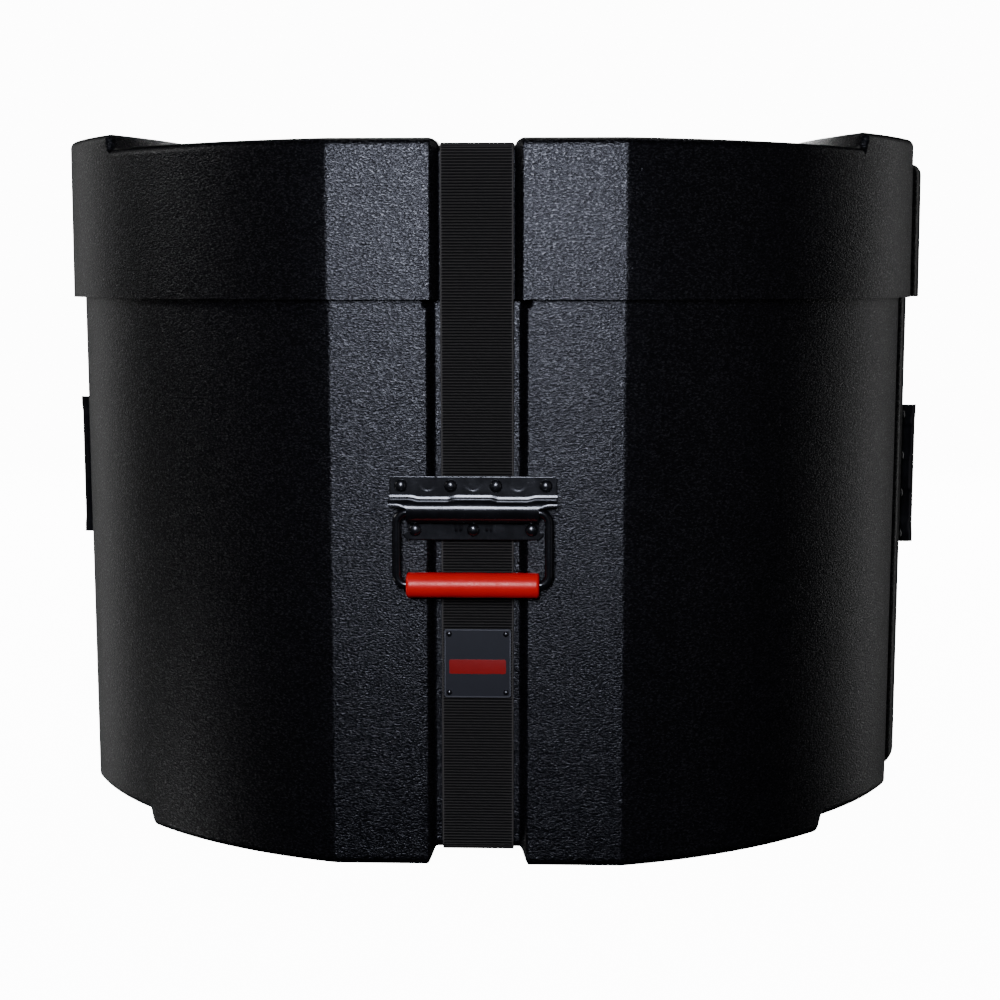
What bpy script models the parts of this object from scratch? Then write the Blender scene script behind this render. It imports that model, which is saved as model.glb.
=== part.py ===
"""Round moulded case for a bass drum: base, telescoping lid, webbing strap with a side-release buckle and
three sprung handles. Metres, +Z up, front towards -Y, origin on the floor under the middle of the case."""

import math

import bmesh
import bpy
from mathutils import Matrix, Vector

# Fits
GAP = 0.0003  # left between pieces that touch
OVERRUN = 0.02  # how far a cutter passes what it cuts
WELD = 0.000001  # points closer than this are one
SHARP_ANGLE = math.radians(30)

# Moulded case
BASE_RADIUS = 0.3435  # outside, at the seam
BASE_DRAFT = 0.003  # radius lost from the seam to the bottom
FLAT_HALF_ANGLE = math.radians(17.7)  # half of the arc that the front and back flats cut off
SIDE_FLAT_HALF_ANGLE = math.radians(21.4)
SIDE_FULLNESS = 0.003  # how far the plan swells out of its circle beside the side flats
WALL = 0.0045
LID_CLEARANCE = 0.0045  # all round, between the lid's skirt and the base's neck
LID_RADIUS = BASE_RADIUS + LID_CLEARANCE + WALL
LIP_HEIGHT = 0.512  # from the floor to the lid's front lip
SKIRT = 0.110  # the lid's depth, from the lip down
SEAM = LIP_HEIGHT - SKIRT
EDGE_ROUND = 0.008
ARC_STEPS = 16  # facets in each of the four arcs
ROUND_STEPS = 3
CORNER_STEPS = 2  # facets in the smallest corners

# Stacking feet and pads
FOOT_HEIGHT = 0.0115
PAD_HEIGHT = 0.0114
PAD_BAND = 0.229  # half of the lid's low middle band, at mid depth
FOOT_BAND = 0.197  # half of the base's low middle band, at mid depth
BAND_RADIUS = 0.520  # of the band's inward-curving sides, in plan
BAND_ROUND = 0.005
BAND_STEPS = 10
FLUSH_STEP = 0.0001  # feet, pads and panels stop this far short of the face that they would share

# Side panels that carry the side handles
PANEL_HALF = 0.070
PANEL_RISE = 0.0217  # in the middle, above the side flat
PANEL_FALL = 0.0088  # lost towards the long edges
PANEL_FALL_WIDTH = 0.040
PANEL_FALL_SHARES = (0.4, 0.7, 1.0)  # of that width, where the face has its facets
PANEL_ROUND = 0.006
BASE_PANEL_END_ROUND = 0.012
LID_PANEL_END_ROUND = 0.009

# Strap and its channel
STRAP_WIDTH = 0.0508
STRAP_THICK = 0.002
CHANNEL_FACE_HALF = 0.03575
CHANNEL_FLOOR_HALF = 0.02925
CHANNEL_DEPTH = 0.007
CHANNEL_STEPS = 4
CHANNEL_BEND = 0.008  # radius of the channel floor where it turns under the case or over the lid
LID_CHANNEL_FACE_HALF = 0.03135
LID_CHANNEL_FLOOR_HALF = 0.0265
LID_CHANNEL_DEPTH = 0.0095
TOP_CHANNEL_DEPTH = 0.005
TOP_CHANNEL_FACE_HALF = 0.0343
TOP_CHANNEL_FLOOR_HALF = 0.0262
RIDGE_CLEARANCE = 0.003  # round the ridge that the lid's channel makes inside the lid
NECK_RAMP = 0.006
RIM_HEIGHT = LIP_HEIGHT - TOP_CHANNEL_DEPTH - WALL - GAP
BEND_STEPS = 4

# Foam linings
FOAM_THICK = 0.012
FOAM_CLEARANCE = 0.004
FOAM_INSET = BASE_DRAFT + CHANNEL_DEPTH + CHANNEL_BEND + FOAM_CLEARANCE

# Handles: u runs along the hinge, v up towards the four-rivet flange, w out from the wall
SHEET = 0.0016
FLANGE_TOP = 0.0232  # from the hinge axis
FLANGE_BOTTOM = 0.0205
TOP_FLANGE_HALF = 0.0585
LOW_FLANGE_HALF = 0.049
BARREL_RADIUS = 0.010
BARREL_OFFSET = 0.002  # the barrel's centre, above the hinge axis
BARREL_STAND = 0.006  # the barrel's centre, off the wall
BARREL_HALF = 0.046  # half length of the closed part of the barrel
BARREL_STEPS = 6
WAVE_SHARE = 0.86  # height left in the barrel's two lower stretches
WAVE_PLACE_SHARES = (0.0, 0.22, 0.29, 0.66, 0.73, 1.0)  # of the flange's half width
WAVE_LOW_SHARES = (0, 0, 1, 1, 0, 0)
ROD_RADIUS = 0.0032
BAIL_HALF = 0.053
BAIL_DROP = 0.051  # from the hinge axis to the grip's axis
BAIL_CORNER = 0.0065
BAIL_STEPS = 4
GRIP_RADIUS = 0.00885
GRIP_LENGTH = 0.0925
GRIP_ROUND = 0.0012
GRIP_SIDES = 20
GRIP_CLEARANCE = 0.0009  # between the hanging grip and the wall
AXIS_STAND = GRIP_RADIUS + GRIP_CLEARANCE
LUG_CLEARANCE = 0.001
RIVET_RADIUS = 0.0045
RIVET_HEIGHT = 0.0032
RIVET_SIDES = 10
RIVET_STEPS = 3
TOP_RIVETS = (0.0506, 0.0158)
LOW_RIVET = 0.0406
SPRING_WIRE = 0.0005
SPRING_CLEARANCE = 0.00015
SPRING_TURNS = 5
SPRING_PITCH = 0.0018
SPRING_POINTS = 8
FRONT_HANDLE_HEIGHT = 0.2555
FRONT_HANDLE_OFFSET = -0.0026  # riveted a little to one side of the middle
LEFT_HANDLE_HEIGHT = 0.2575
RIGHT_HANDLE_HEIGHT = 0.2520

# Nameplate
PLATE_WIDTH = 0.047
PLATE_HEIGHT = 0.049
PLATE_THICK = 0.0012
PLATE_LOW = 0.122
PLATE_CORNER = 0.002
PLATE_RIVET_INSET = 0.0035
PLATE_RIVET_RADIUS = 0.002
PLATE_RIVET_HEIGHT = 0.0012

# Side-release buckle, on the lid; y = 0 in it is the socket's mouth
BUCKLE_WIDTH = 0.060
BUCKLE_THICK = 0.012
BUCKLE_PLATE = 0.0025  # the socket's top and bottom walls
BUCKLE_MOUTH_Y = -0.010  # where the mouth lies on the lid
SOCKET_LENGTH = 0.062
SOCKET_DEPTH = 0.046
SOCKET_WALL = 0.005
SOCKET_WAIST = 0.004  # drawn in on each side, where the fingers press
MOUTH_LENGTH = 0.015
STRAP_SLOT = 0.006
STRAP_BAR = 0.004
PLUG_LENGTH = 0.026
PLUG_RECESS = 0.001  # the plug's block, thinner than the socket
TONGUE_HALF = 0.005
TONGUE_LENGTH = 0.042
LEVER_REACH = 0.0275
LEVER_LENGTH = 0.043
LEVER_PIVOT = 0.0145
LEVER_SHARES = (
    (0.44, 0.0), (0.62, 0.0), (0.72, 0.18), (0.82, 0.335), (1.0, 0.365), (1.0, 0.50), (0.95, 0.68), (0.78, 0.90),
    (0.62, 1.0), (0.51, 1.0), (0.53, 0.86), (0.66, 0.66), (0.65, 0.42), (0.53, 0.20), (0.44, 0.06),
)  # outline of a lever: across from the buckle's middle and along from the lever's root
LEVER_CLEARANCE = 0.0006
TAIL_LENGTH = 0.035
TAIL_SLOPE = 0.010  # over which the strap's tail comes down onto the strap
POCKET_CLEARANCE = 0.0015  # round the buckle, in the wider part of the lid's channel
POCKET_FLARE = 0.004
POCKET_RAMP = 0.010

PARTS = "drum_case"
CUTTERS = "cutters"

POLYETHYLENE = ("polyethylene_black", (0.012, 0.012, 0.014), 0.42, 0.0)
WEBBING = ("webbing_black", (0.010, 0.010, 0.010), 0.85, 0.0)
PAINTED = ("steel_painted_black", (0.010, 0.010, 0.011), 0.30, 0.0)
RED_VINYL = ("vinyl_red", (0.62, 0.015, 0.008), 0.28, 0.0)
SPRING_STEEL = ("steel_spring", (0.45, 0.45, 0.46), 0.35, 1.0)
FOAM = ("foam_charcoal", (0.030, 0.030, 0.032), 0.95, 0.0)
ACETAL = ("acetal_black", (0.014, 0.014, 0.015), 0.40, 0.0)
PLATE_METAL = ("plate_black", (0.020, 0.020, 0.023), 0.35, 0.0)


def clear_scene():
    for obj in list(bpy.data.objects):
        bpy.data.objects.remove(obj, do_unlink=True)


def make_collection(name):
    found = bpy.data.collections.new(name)
    bpy.context.scene.collection.children.link(found)
    return found


def make_material(name, colour, roughness, metallic):
    if name in bpy.data.materials:
        return bpy.data.materials[name]
    material = bpy.data.materials.new(name)
    material.use_nodes = True
    shader = material.node_tree.nodes["Principled BSDF"]
    shader.inputs["Base Color"].default_value = (*colour, 1.0)
    shader.inputs["Roughness"].default_value = roughness
    shader.inputs["Metallic"].default_value = metallic
    material.diffuse_color = (*colour, 1.0)
    return material


def add_object(name, data, finish=None):
    """A part when it has a finish, and otherwise a cutter."""
    obj = bpy.data.objects.new(name, data)
    if finish:
        bpy.data.collections[PARTS].objects.link(obj)
        data.materials.append(make_material(*finish))
        return obj
    bpy.data.collections[CUTTERS].objects.link(obj)
    obj.hide_render = True
    obj.display_type = "WIRE"
    return obj


def shade_round(mesh):
    mesh.shade_smooth()
    mesh.set_sharp_from_angle(angle=SHARP_ANGLE)


def mesh_from(name, bm, finish=None):
    bmesh.ops.recalc_face_normals(bm, faces=bm.faces)
    mesh = bpy.data.meshes.new(name)
    bm.to_mesh(mesh)
    bm.free()
    shade_round(mesh)
    return add_object(name, mesh, finish)


def loft(name, rings, finish=None):
    """A closed solid through rings that have the same number of points, with a cap at each end."""
    bm = bmesh.new()
    rows = [[bm.verts.new(point) for point in ring] for ring in rings]
    count = len(rows[0])
    for low, high in zip(rows, rows[1:]):
        for i in range(count):
            j = (i + 1) % count
            bm.faces.new((low[i], low[j], high[j], high[i]))
    bm.faces.new(rows[0])
    bm.faces.new(rows[-1])
    return mesh_from(name, bm, finish)


def turned(name, profile, sides, finish, closed=False):
    """A profile of (radius, height) points, down its outer side, turned about Z."""
    bm = bmesh.new()
    points = [bm.verts.new((radius, 0, height)) for radius, height in profile]
    ends = points + points[:1] if closed else points
    for a, b in zip(ends, ends[1:]):
        bm.edges.new((a, b))
    mesh = bpy.data.meshes.new(name)
    bm.to_mesh(mesh)
    bm.free()
    obj = add_object(name, mesh, finish)
    screw = obj.modifiers.new("Turn", "SCREW")
    screw.steps = sides
    screw.render_steps = sides
    screw.use_merge_vertices = True
    screw.merge_threshold = WELD
    screw.use_smooth_shade = True
    return obj


def combine(obj, other, operation):
    modifier = obj.modifiers.new(other.name, "BOOLEAN")
    modifier.operation = operation
    modifier.object = other
    modifier.solver = "EXACT"


def box(name, low, high, finish=None):
    bm = bmesh.new()
    bmesh.ops.create_cube(bm, size=1)
    size = Vector(high) - Vector(low)
    middle = (Vector(high) + Vector(low)) / 2
    bmesh.ops.transform(bm, matrix=Matrix.Translation(middle) @ Matrix.Diagonal((*size, 1)), verts=bm.verts)
    return mesh_from(name, bm, finish)


def rounding(radius, steps=ROUND_STEPS):
    """(rise, inset) pairs of a rounded edge, from the end face to the side."""
    turn = [math.pi / 2 * i / steps for i in range(steps + 1)]
    return [(radius * (1 - math.cos(a)), radius * (1 - math.sin(a))) for a in turn]


def outline(radius, inset, steps=ARC_STEPS):
    """Plan of the case, moved inwards: a circle with four flats, a little fuller beside the side flats."""
    reach = radius - inset
    side = math.acos((radius * math.cos(SIDE_FLAT_HALF_ANGLE) - inset) / (reach + SIDE_FULLNESS))
    sweep = math.pi / 2 - side - math.acos((radius * math.cos(FLAT_HALF_ANGLE) - inset) / reach)
    quarter = []
    for i in range(steps + 1):
        angle = side + sweep * i / steps
        swollen = reach + SIDE_FULLNESS * (1 - i / steps) ** 2
        quarter.append((swollen * math.cos(angle), swollen * math.sin(angle)))
    half = quarter + [(-x, y) for x, y in reversed(quarter)]
    return half + [(-x, -y) for x, y in half]


def plan_ring(z, radius, inset):
    return [(x, y, z) for x, y in outline(radius, inset)]


def base_radius(z):
    """The base tapers to its bottom below the seam and runs straight in its neck."""
    return BASE_RADIUS - BASE_DRAFT * max(0, 1 - z / SEAM)


def base_flat(z, half_angle=FLAT_HALF_ANGLE):
    return base_radius(z) * math.cos(half_angle)


def base_side_flat(z):
    return base_flat(z, SIDE_FLAT_HALF_ANGLE)


LID_FLAT = LID_RADIUS * math.cos(FLAT_HALF_ANGLE)
LID_SIDE_FLAT = LID_RADIUS * math.cos(SIDE_FLAT_HALF_ANGLE)
DRAFT_ANGLE = math.atan(BASE_DRAFT * math.cos(FLAT_HALF_ANGLE) / SEAM)
SIDE_DRAFT_ANGLE = math.atan(BASE_DRAFT * math.cos(SIDE_FLAT_HALF_ANGLE) / SEAM)


def band_side(half, y):
    """Half width of a middle band whose sides curve inwards."""
    return half + BAND_RADIUS - math.sqrt(BAND_RADIUS**2 - y**2)


def band_ring(z, half):
    reach = LID_RADIUS + OVERRUN
    ys = [reach * (2 * i / BAND_STEPS - 1) for i in range(BAND_STEPS + 1)]
    right = [(band_side(half, y), y, z) for y in ys]
    return right + [(-x, y, z) for x, y, _ in reversed(right)]


def channel_section(face_half, floor_half, depth):
    """(across, down) points of a channel with sloping, rounded walls, down from the face."""
    wall = []
    for i in range(CHANNEL_STEPS + 1):
        t = i / CHANNEL_STEPS
        across = floor_half + (face_half - floor_half) * t
        wall.append((across, depth * (1 + math.cos(math.pi * t)) / 2))
    right = wall + [(face_half, -OVERRUN)]
    return [(-across, down) for across, down in reversed(right)] + right


def upright_channel(name, stations, side):
    """Cutter for a channel in the front (side -1) or the back (side 1); a station is z, face, section."""
    rings = []
    for z, face, section in stations:
        rings.append([(across, side * (face - down), z) for across, down in channel_section(*section)])
    return loft(name, rings)


def lying_channel(name, z, stations, side):
    """Cutter for a channel along Y in a face that looks down (side -1) or up (side 1); a station is
    y, section."""
    rings = []
    for y, section in stations:
        rings.append([(across, y, z - side * down) for across, down in channel_section(*section)])
    return loft(name, rings)


def panel(name, side, stations, half, inset):
    """Raised panel on a side flat, level in the middle and falling away to rounded long edges; a station is
    z, flat distance, rise."""
    corner = PANEL_ROUND - inset
    crown = []
    for i in range(ROUND_STEPS + 1):
        angle = math.pi / 2 * i / ROUND_STEPS
        cut = corner * (1 - math.cos(angle))
        crown.append((half - cut, corner * (math.sin(angle) - 1) - panel_fall(cut)))
    for share in PANEL_FALL_SHARES:
        cut = PANEL_FALL_WIDTH * share
        crown.append((half - cut, -panel_fall(cut)))
    rings = []
    for z, flat, rise in stations:
        right = [(half, flat - inset - EDGE_ROUND)] + [(y, flat + rise + out) for y, out in crown]
        ring = right + [(-y, x) for y, x in reversed(right)]
        rings.append([(side * x, y, z) for y, x in ring])
    return loft(name, rings)


def panel_fall(cut):
    """How far the panel's face has fallen away, at a distance in from its edge."""
    return PANEL_FALL * (1 - cut / PANEL_FALL_WIDTH) ** 2


def make_base_form(name, inset, finish=None):
    """The base's outside, or with an inset the space inside it."""
    inner = inset > 0
    top = RIM_HEIGHT + (OVERRUN if inner else 0)
    low = FOOT_HEIGHT + inset
    corner = EDGE_ROUND - inset
    edge = rounding(corner)
    rings = [plan_ring(low + rise, base_radius(low + rise), inset + cut) for rise, cut in edge]
    rings += [plan_ring(SEAM, BASE_RADIUS, inset), plan_ring(top, BASE_RADIUS, inset)]
    form = loft(name, rings, finish)

    flush = inset + FLUSH_STEP
    rings = [plan_ring(inset + rise, base_radius(inset + rise), flush + cut) for rise, cut in edge]
    rings.append(plan_ring(low + corner, base_radius(low + corner), flush))
    rings.append(plan_ring(low + corner + EDGE_ROUND, base_radius(low), inset + EDGE_ROUND))
    feet = loft(name + "_feet", rings)
    half = FOOT_BAND - inset
    rings = [band_ring(inset - OVERRUN, half - BAND_ROUND)]
    rings += [band_ring(inset + rise, half - cut) for rise, cut in rounding(BAND_ROUND)]
    rings.append(band_ring(low + corner + EDGE_ROUND + OVERRUN, half))
    combine(feet, loft(name + "_feet_band", rings), "INTERSECT")
    combine(form, feet, "UNION")

    for side in (-1, 1):
        stations = []
        rise = PANEL_RISE - inset
        for step, cut in rounding(BASE_PANEL_END_ROUND - inset):
            z = low + FLUSH_STEP + step
            stations.append((z, base_side_flat(z), rise - cut))
        stations += [(z, base_side_flat(SEAM), rise) for z in (SEAM, top - FLUSH_STEP)]
        combine(form, panel(f"{name}_panel_{side}", side, stations, PANEL_HALF - inset, inset), "UNION")

    section = (CHANNEL_FACE_HALF + inset, CHANNEL_FLOOR_HALF + inset)
    spread = WALL + RIDGE_CLEARANCE
    wide = (LID_CHANNEL_FACE_HALF + spread + inset, LID_CHANNEL_FLOOR_HALF + spread + inset)
    depth = CHANNEL_DEPTH + inset
    neck_depth = base_flat(SEAM) - LID_FLAT + LID_CHANNEL_DEPTH + spread + inset
    for side in (-1, 1):
        stations = [(-OVERRUN, base_flat(0), (*section, depth + CHANNEL_BEND))]
        for step, extra in rounding(CHANNEL_BEND - inset, BEND_STEPS):
            z = low + step
            stations.append((z, base_flat(z), (*section, depth + extra)))
        stations.append((SEAM - NECK_RAMP, base_flat(SEAM - NECK_RAMP), (*section, depth)))
        stations.append((SEAM, base_flat(SEAM), (*wide, neck_depth)))
        stations.append((top + OVERRUN, base_flat(SEAM), (*wide, neck_depth)))
        combine(form, upright_channel(f"{name}_channel_{side}", stations, side), "DIFFERENCE")
    reach = BASE_RADIUS + OVERRUN
    stations = [(y, (*section, FOOT_HEIGHT)) for y in (-reach, reach)]
    combine(form, lying_channel(name + "_channel_under", inset, stations, -1), "DIFFERENCE")
    return form


def top_channel(inset):
    """Stations of the channel over the lid, with a wider pocket for the buckle."""
    narrow = (TOP_CHANNEL_FACE_HALF + inset, TOP_CHANNEL_FLOOR_HALF + inset, TOP_CHANNEL_DEPTH)
    floor = BUCKLE_WIDTH / 2 + POCKET_CLEARANCE + inset
    wide = (floor + POCKET_FLARE, floor, TOP_CHANNEL_DEPTH)
    start = BUCKLE_MOUTH_Y - SOCKET_LENGTH - POCKET_CLEARANCE - inset
    end = BUCKLE_MOUTH_Y + PLUG_LENGTH + POCKET_CLEARANCE + inset
    reach = LID_RADIUS + OVERRUN
    places = ((-reach, narrow), (start - POCKET_RAMP, narrow), (start, wide))
    return [*places, (end, wide), (end + POCKET_RAMP, narrow), (reach, narrow)]


def make_lid_form(name, inset, finish=None):
    """The lid's outside, or with an inset the space inside it."""
    bottom = SEAM - (OVERRUN if inset > 0 else 0)
    low = LIP_HEIGHT - inset
    high = LIP_HEIGHT + PAD_HEIGHT - inset
    corner = EDGE_ROUND - inset
    edge = list(reversed(rounding(corner)))
    rings = [plan_ring(bottom, LID_RADIUS, inset)]
    rings += [plan_ring(low - rise, LID_RADIUS, inset + cut) for rise, cut in edge]
    form = loft(name, rings, finish)

    rings = [plan_ring(low - corner - EDGE_ROUND, LID_RADIUS, inset + EDGE_ROUND)]
    flush = inset + FLUSH_STEP
    rings.append(plan_ring(low - corner, LID_RADIUS, flush))
    rings += [plan_ring(high - rise, LID_RADIUS, flush + cut) for rise, cut in edge]
    pads = loft(name + "_pads", rings)
    half = PAD_BAND + inset
    rings = [band_ring(low - corner - EDGE_ROUND - OVERRUN, half)]
    rings += [band_ring(high - rise, half + cut) for rise, cut in reversed(rounding(BAND_ROUND))]
    rings.append(band_ring(high + OVERRUN, half + BAND_ROUND))
    combine(pads, loft(name + "_pads_band", rings), "DIFFERENCE")
    combine(form, pads, "UNION")

    rise = PANEL_RISE - inset
    for side in (-1, 1):
        stations = [(bottom + FLUSH_STEP, LID_SIDE_FLAT, rise)]
        for step, cut in reversed(rounding(LID_PANEL_END_ROUND - inset)):
            stations.append((low - EDGE_ROUND / 2 - step, LID_SIDE_FLAT, rise - cut))
        half = PANEL_HALF + LID_CLEARANCE + WALL - inset
        combine(form, panel(f"{name}_panel_{side}", side, stations, half, inset), "UNION")

    section = (LID_CHANNEL_FACE_HALF + inset, LID_CHANNEL_FLOOR_HALF + inset)
    depth = LID_CHANNEL_DEPTH + inset
    floor = LIP_HEIGHT - TOP_CHANNEL_DEPTH - inset
    for side in (-1, 1):
        stations = [(bottom - OVERRUN, LID_FLAT, (*section, depth))]
        for step, extra in reversed(rounding(CHANNEL_BEND - inset, BEND_STEPS)):
            stations.append((floor - step, LID_FLAT, (*section, depth + extra)))
        stations.append((high + OVERRUN, LID_FLAT, (*section, depth + CHANNEL_BEND)))
        combine(form, upright_channel(f"{name}_channel_{side}", stations, side), "DIFFERENCE")
    combine(form, lying_channel(name + "_channel_over", low, top_channel(inset), 1), "DIFFERENCE")
    return form


def make_shells():
    base = make_base_form("base_shell", 0, POLYETHYLENE)
    combine(base, make_base_form("base_core", WALL), "DIFFERENCE")
    lid = make_lid_form("lid_shell", 0, POLYETHYLENE)
    combine(lid, make_lid_form("lid_core", WALL), "DIFFERENCE")


def make_foam():
    floor = FOOT_HEIGHT + WALL + GAP
    loft("base_foam_pad", [plan_ring(z, BASE_RADIUS, FOAM_INSET) for z in (floor, floor + FOAM_THICK)], FOAM)
    roof = RIM_HEIGHT
    loft("lid_foam_pad", [plan_ring(z, BASE_RADIUS, FOAM_INSET) for z in (roof - FOAM_THICK, roof)], FOAM)


def ribbon(name, route, width=STRAP_WIDTH, thick=STRAP_THICK):
    """Webbing along a route of (y, z) points, square to it."""
    rings = []
    for i, here in enumerate(route):
        before = Vector(route[max(i - 1, 0)])
        after = Vector(route[min(i + 1, len(route) - 1)])
        here = Vector(here)
        arms = [(p - q).normalized() for p, q in ((here, before), (after, here)) if (p - q).length > 0]
        along = sum(arms, Vector((0, 0))).normalized()
        across = Vector((-along.y, along.x)) * thick / 2 / along.dot(arms[0])
        inner, outer = here - across, here + across
        half = width / 2
        corners = ((-half, inner), (half, inner), (half, outer), (-half, outer))
        rings.append([(x, *point) for x, point in corners])
    return loft(name, rings, WEBBING)


def strap_distance(z):
    """From the case's axis to the middle of the webbing in the base's channel."""
    return base_flat(z) - CHANNEL_DEPTH + GAP + STRAP_THICK / 2


LID_STRAP_DISTANCE = LID_FLAT - LID_CHANNEL_DEPTH + GAP + STRAP_THICK / 2
UNDER_STRAP = FOOT_HEIGHT - GAP - STRAP_THICK / 2
OVER_STRAP = LIP_HEIGHT - TOP_CHANNEL_DEPTH + GAP + STRAP_THICK / 2
BEND_RADIUS = CHANNEL_BEND + GAP + STRAP_THICK / 2
STRAP_SPLIT = FRONT_HANDLE_HEIGHT + FLANGE_TOP + EDGE_ROUND


def arc(centre, radius, start, end, steps=BEND_STEPS):
    turn = [math.radians(start + (end - start) * i / steps) for i in range(steps + 1)]
    return [(centre[0] + radius * math.cos(a), centre[1] + radius * math.sin(a)) for a in turn]


def rounded_oblong(x_half, low_y, high_y, corner, steps=ROUND_STEPS):
    points = []
    corners = ((x_half, high_y, 0), (-x_half, high_y, 90), (-x_half, low_y, 180), (x_half, low_y, 270))
    for x, y, start in corners:
        centre = (x - math.copysign(corner, x), y + (corner if y == low_y else -corner))
        points += arc(centre, corner, start, start + 90, steps)
    return points


def base_strap_route():
    """Down the front from the split, under the case and up the back."""
    foot = UNDER_STRAP + BEND_RADIUS
    reach = strap_distance(foot)
    front = [(-strap_distance(STRAP_SPLIT), STRAP_SPLIT)]
    front += arc((BEND_RADIUS - reach, foot), BEND_RADIUS, 180, 270)
    return front + [(-y, z) for y, z in reversed(front)]


def riser_route(side):
    """Up from the split, out over the skirt's edge, up the lid's channel."""
    low = STRAP_SPLIT + GAP
    top = OVER_STRAP - BEND_RADIUS - GAP
    points = [(-strap_distance(low), low)]
    points += [(-LID_STRAP_DISTANCE, z) for z in (SEAM - STRAP_THICK, top)]
    return [(-side * y, z) for y, z in points]


def lid_strap_route(bar):
    """Over the lid's edge, along its top, round the buckle's bar, whose near face is at bar, and back."""
    turn = (STRAP_THICK + STRAP_BAR) / 2 + GAP
    bend = arc((BEND_RADIUS - LID_STRAP_DISTANCE, OVER_STRAP - BEND_RADIUS), BEND_RADIUS, 180, 90)
    loop = arc((bar, OVER_STRAP + turn), turn, -90, 90, BEND_STEPS + 2)
    rest = OVER_STRAP + STRAP_THICK + GAP
    over = bar - STRAP_BAR - STRAP_THICK
    tail = [(over, OVER_STRAP + 2 * turn), (over - TAIL_SLOPE, rest), (over - TAIL_LENGTH, rest)]
    return bend + loop + tail


def make_strap():
    ribbon("strap_base", base_strap_route())
    ribbon("strap_front_riser", riser_route(1))
    ribbon("strap_back_riser", riser_route(-1))
    ribbon("strap_lid_front", lid_strap_route(BUCKLE_MOUTH_Y - SOCKET_LENGTH + STRAP_BAR))
    route = lid_strap_route(STRAP_BAR - PLUG_LENGTH - BUCKLE_MOUTH_Y)
    ribbon("strap_lid_back", [(-y, z) for y, z in route])


def dome(name, radius, height, matrix, finish):
    profile = []
    for i in range(RIVET_STEPS + 1):
        angle = math.pi / 2 * i / RIVET_STEPS
        profile.append((radius * math.sin(angle), height * math.cos(angle)))
    profile.append((0, 0))
    obj = turned(name, profile, RIVET_SIDES, finish)
    obj.matrix_world = matrix
    return obj


def make_nameplate():
    """A thin plate on the webbing, leaning with it, and a rivet in each corner."""
    high = PLATE_LOW + PLATE_HEIGHT
    half = PLATE_WIDTH / 2

    def front(z, out):
        return -(strap_distance(z) + STRAP_THICK / 2 + GAP + out)

    corners = rounded_oblong(half, PLATE_LOW, high, PLATE_CORNER, CORNER_STEPS)
    loft("nameplate", [[(x, front(z, out), z) for x, z in corners] for out in (0, PLATE_THICK)], PLATE_METAL)
    reach = half - PLATE_RIVET_INSET
    heights = (high - PLATE_RIVET_INSET, PLATE_LOW + PLATE_RIVET_INSET)
    for number, (z, x) in enumerate(((z, x) for z in heights for x in (-reach, reach)), 1):
        facing = Matrix.Rotation(math.pi / 2, 4, "X")
        place = Matrix.Translation((x, front(z, PLATE_THICK + GAP), z)) @ facing
        dome(f"nameplate_rivet_{number}", PLATE_RIVET_RADIUS, PLATE_RIVET_HEIGHT, place, PAINTED)


def bracket_section(low_share):
    """(v, w) outline of the bent sheet; a low share of 1 flattens the barrel's upper side."""
    keep = 1 - low_share * (1 - WAVE_SHARE)

    def barrel(radius):
        points = []
        for i in range(BARREL_STEPS + 1):
            angle = math.pi * (1 - i / BARREL_STEPS)
            v = radius * math.cos(angle)
            lowered = v * keep if v > 0 else v
            points.append((BARREL_OFFSET + lowered, BARREL_STAND + radius * math.sin(angle)))
        return points

    outer = barrel(BARREL_RADIUS)
    inner = barrel(BARREL_RADIUS - SHEET)
    section = [(-FLANGE_BOTTOM, 0), (-FLANGE_BOTTOM, SHEET), (outer[0][0], SHEET)]
    section += outer + [(outer[-1][0], SHEET), (FLANGE_TOP, SHEET)]
    section += [(FLANGE_TOP, 0), (inner[-1][0], 0)]
    return section + list(reversed(inner)) + [(inner[0][0], 0)]


def make_bracket(name, frame):
    places = [(share * TOP_FLANGE_HALF, low) for share, low in zip(WAVE_PLACE_SHARES, WAVE_LOW_SHARES)]
    stations = [(-u, low) for u, low in reversed(places[1:])] + places
    rings = [[frame @ Vector((u, v, w)) for v, w in bracket_section(low)] for u, low in stations]
    bracket = loft(name, rings, PAINTED)
    lug_low = -(FLANGE_BOTTOM + BARREL_RADIUS) / 2
    lug_top = ROD_RADIUS + LUG_CLEARANCE
    out = BARREL_STAND + BARREL_RADIUS + OVERRUN
    far = TOP_FLANGE_HALF + OVERRUN
    for side in (-1, 1):
        lug = sorted((side * BARREL_HALF, side * far))
        corner = sorted((side * LOW_FLANGE_HALF, side * far))
        corner_low, corner_high = (corner[0], -out, -OVERRUN), (corner[1], -BARREL_RADIUS / 2, OVERRUN)
        cutters = (
            box(f"{name}_lug_{side}", (lug[0], lug_low, -OVERRUN), (lug[1], lug_top, out)),
            box(f"{name}_corner_{side}", corner_low, corner_high),
        )
        for cutter in cutters:
            cutter.matrix_world = frame
            combine(bracket, cutter, "DIFFERENCE")


def bail_points():
    """Closed centre line of the bail in u and v, round the hinge axis's rod, the legs and the grip's rod."""
    low = -BAIL_DROP
    inner = BAIL_HALF - BAIL_CORNER
    points = arc((inner, -BAIL_CORNER), BAIL_CORNER, 90, 0, BAIL_STEPS)
    points += arc((inner, low + BAIL_CORNER), BAIL_CORNER, 0, -90, BAIL_STEPS)
    points += arc((-inner, low + BAIL_CORNER), BAIL_CORNER, -90, -180, BAIL_STEPS)
    return points + arc((-inner, -BAIL_CORNER), BAIL_CORNER, 180, 90, BAIL_STEPS)


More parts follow.
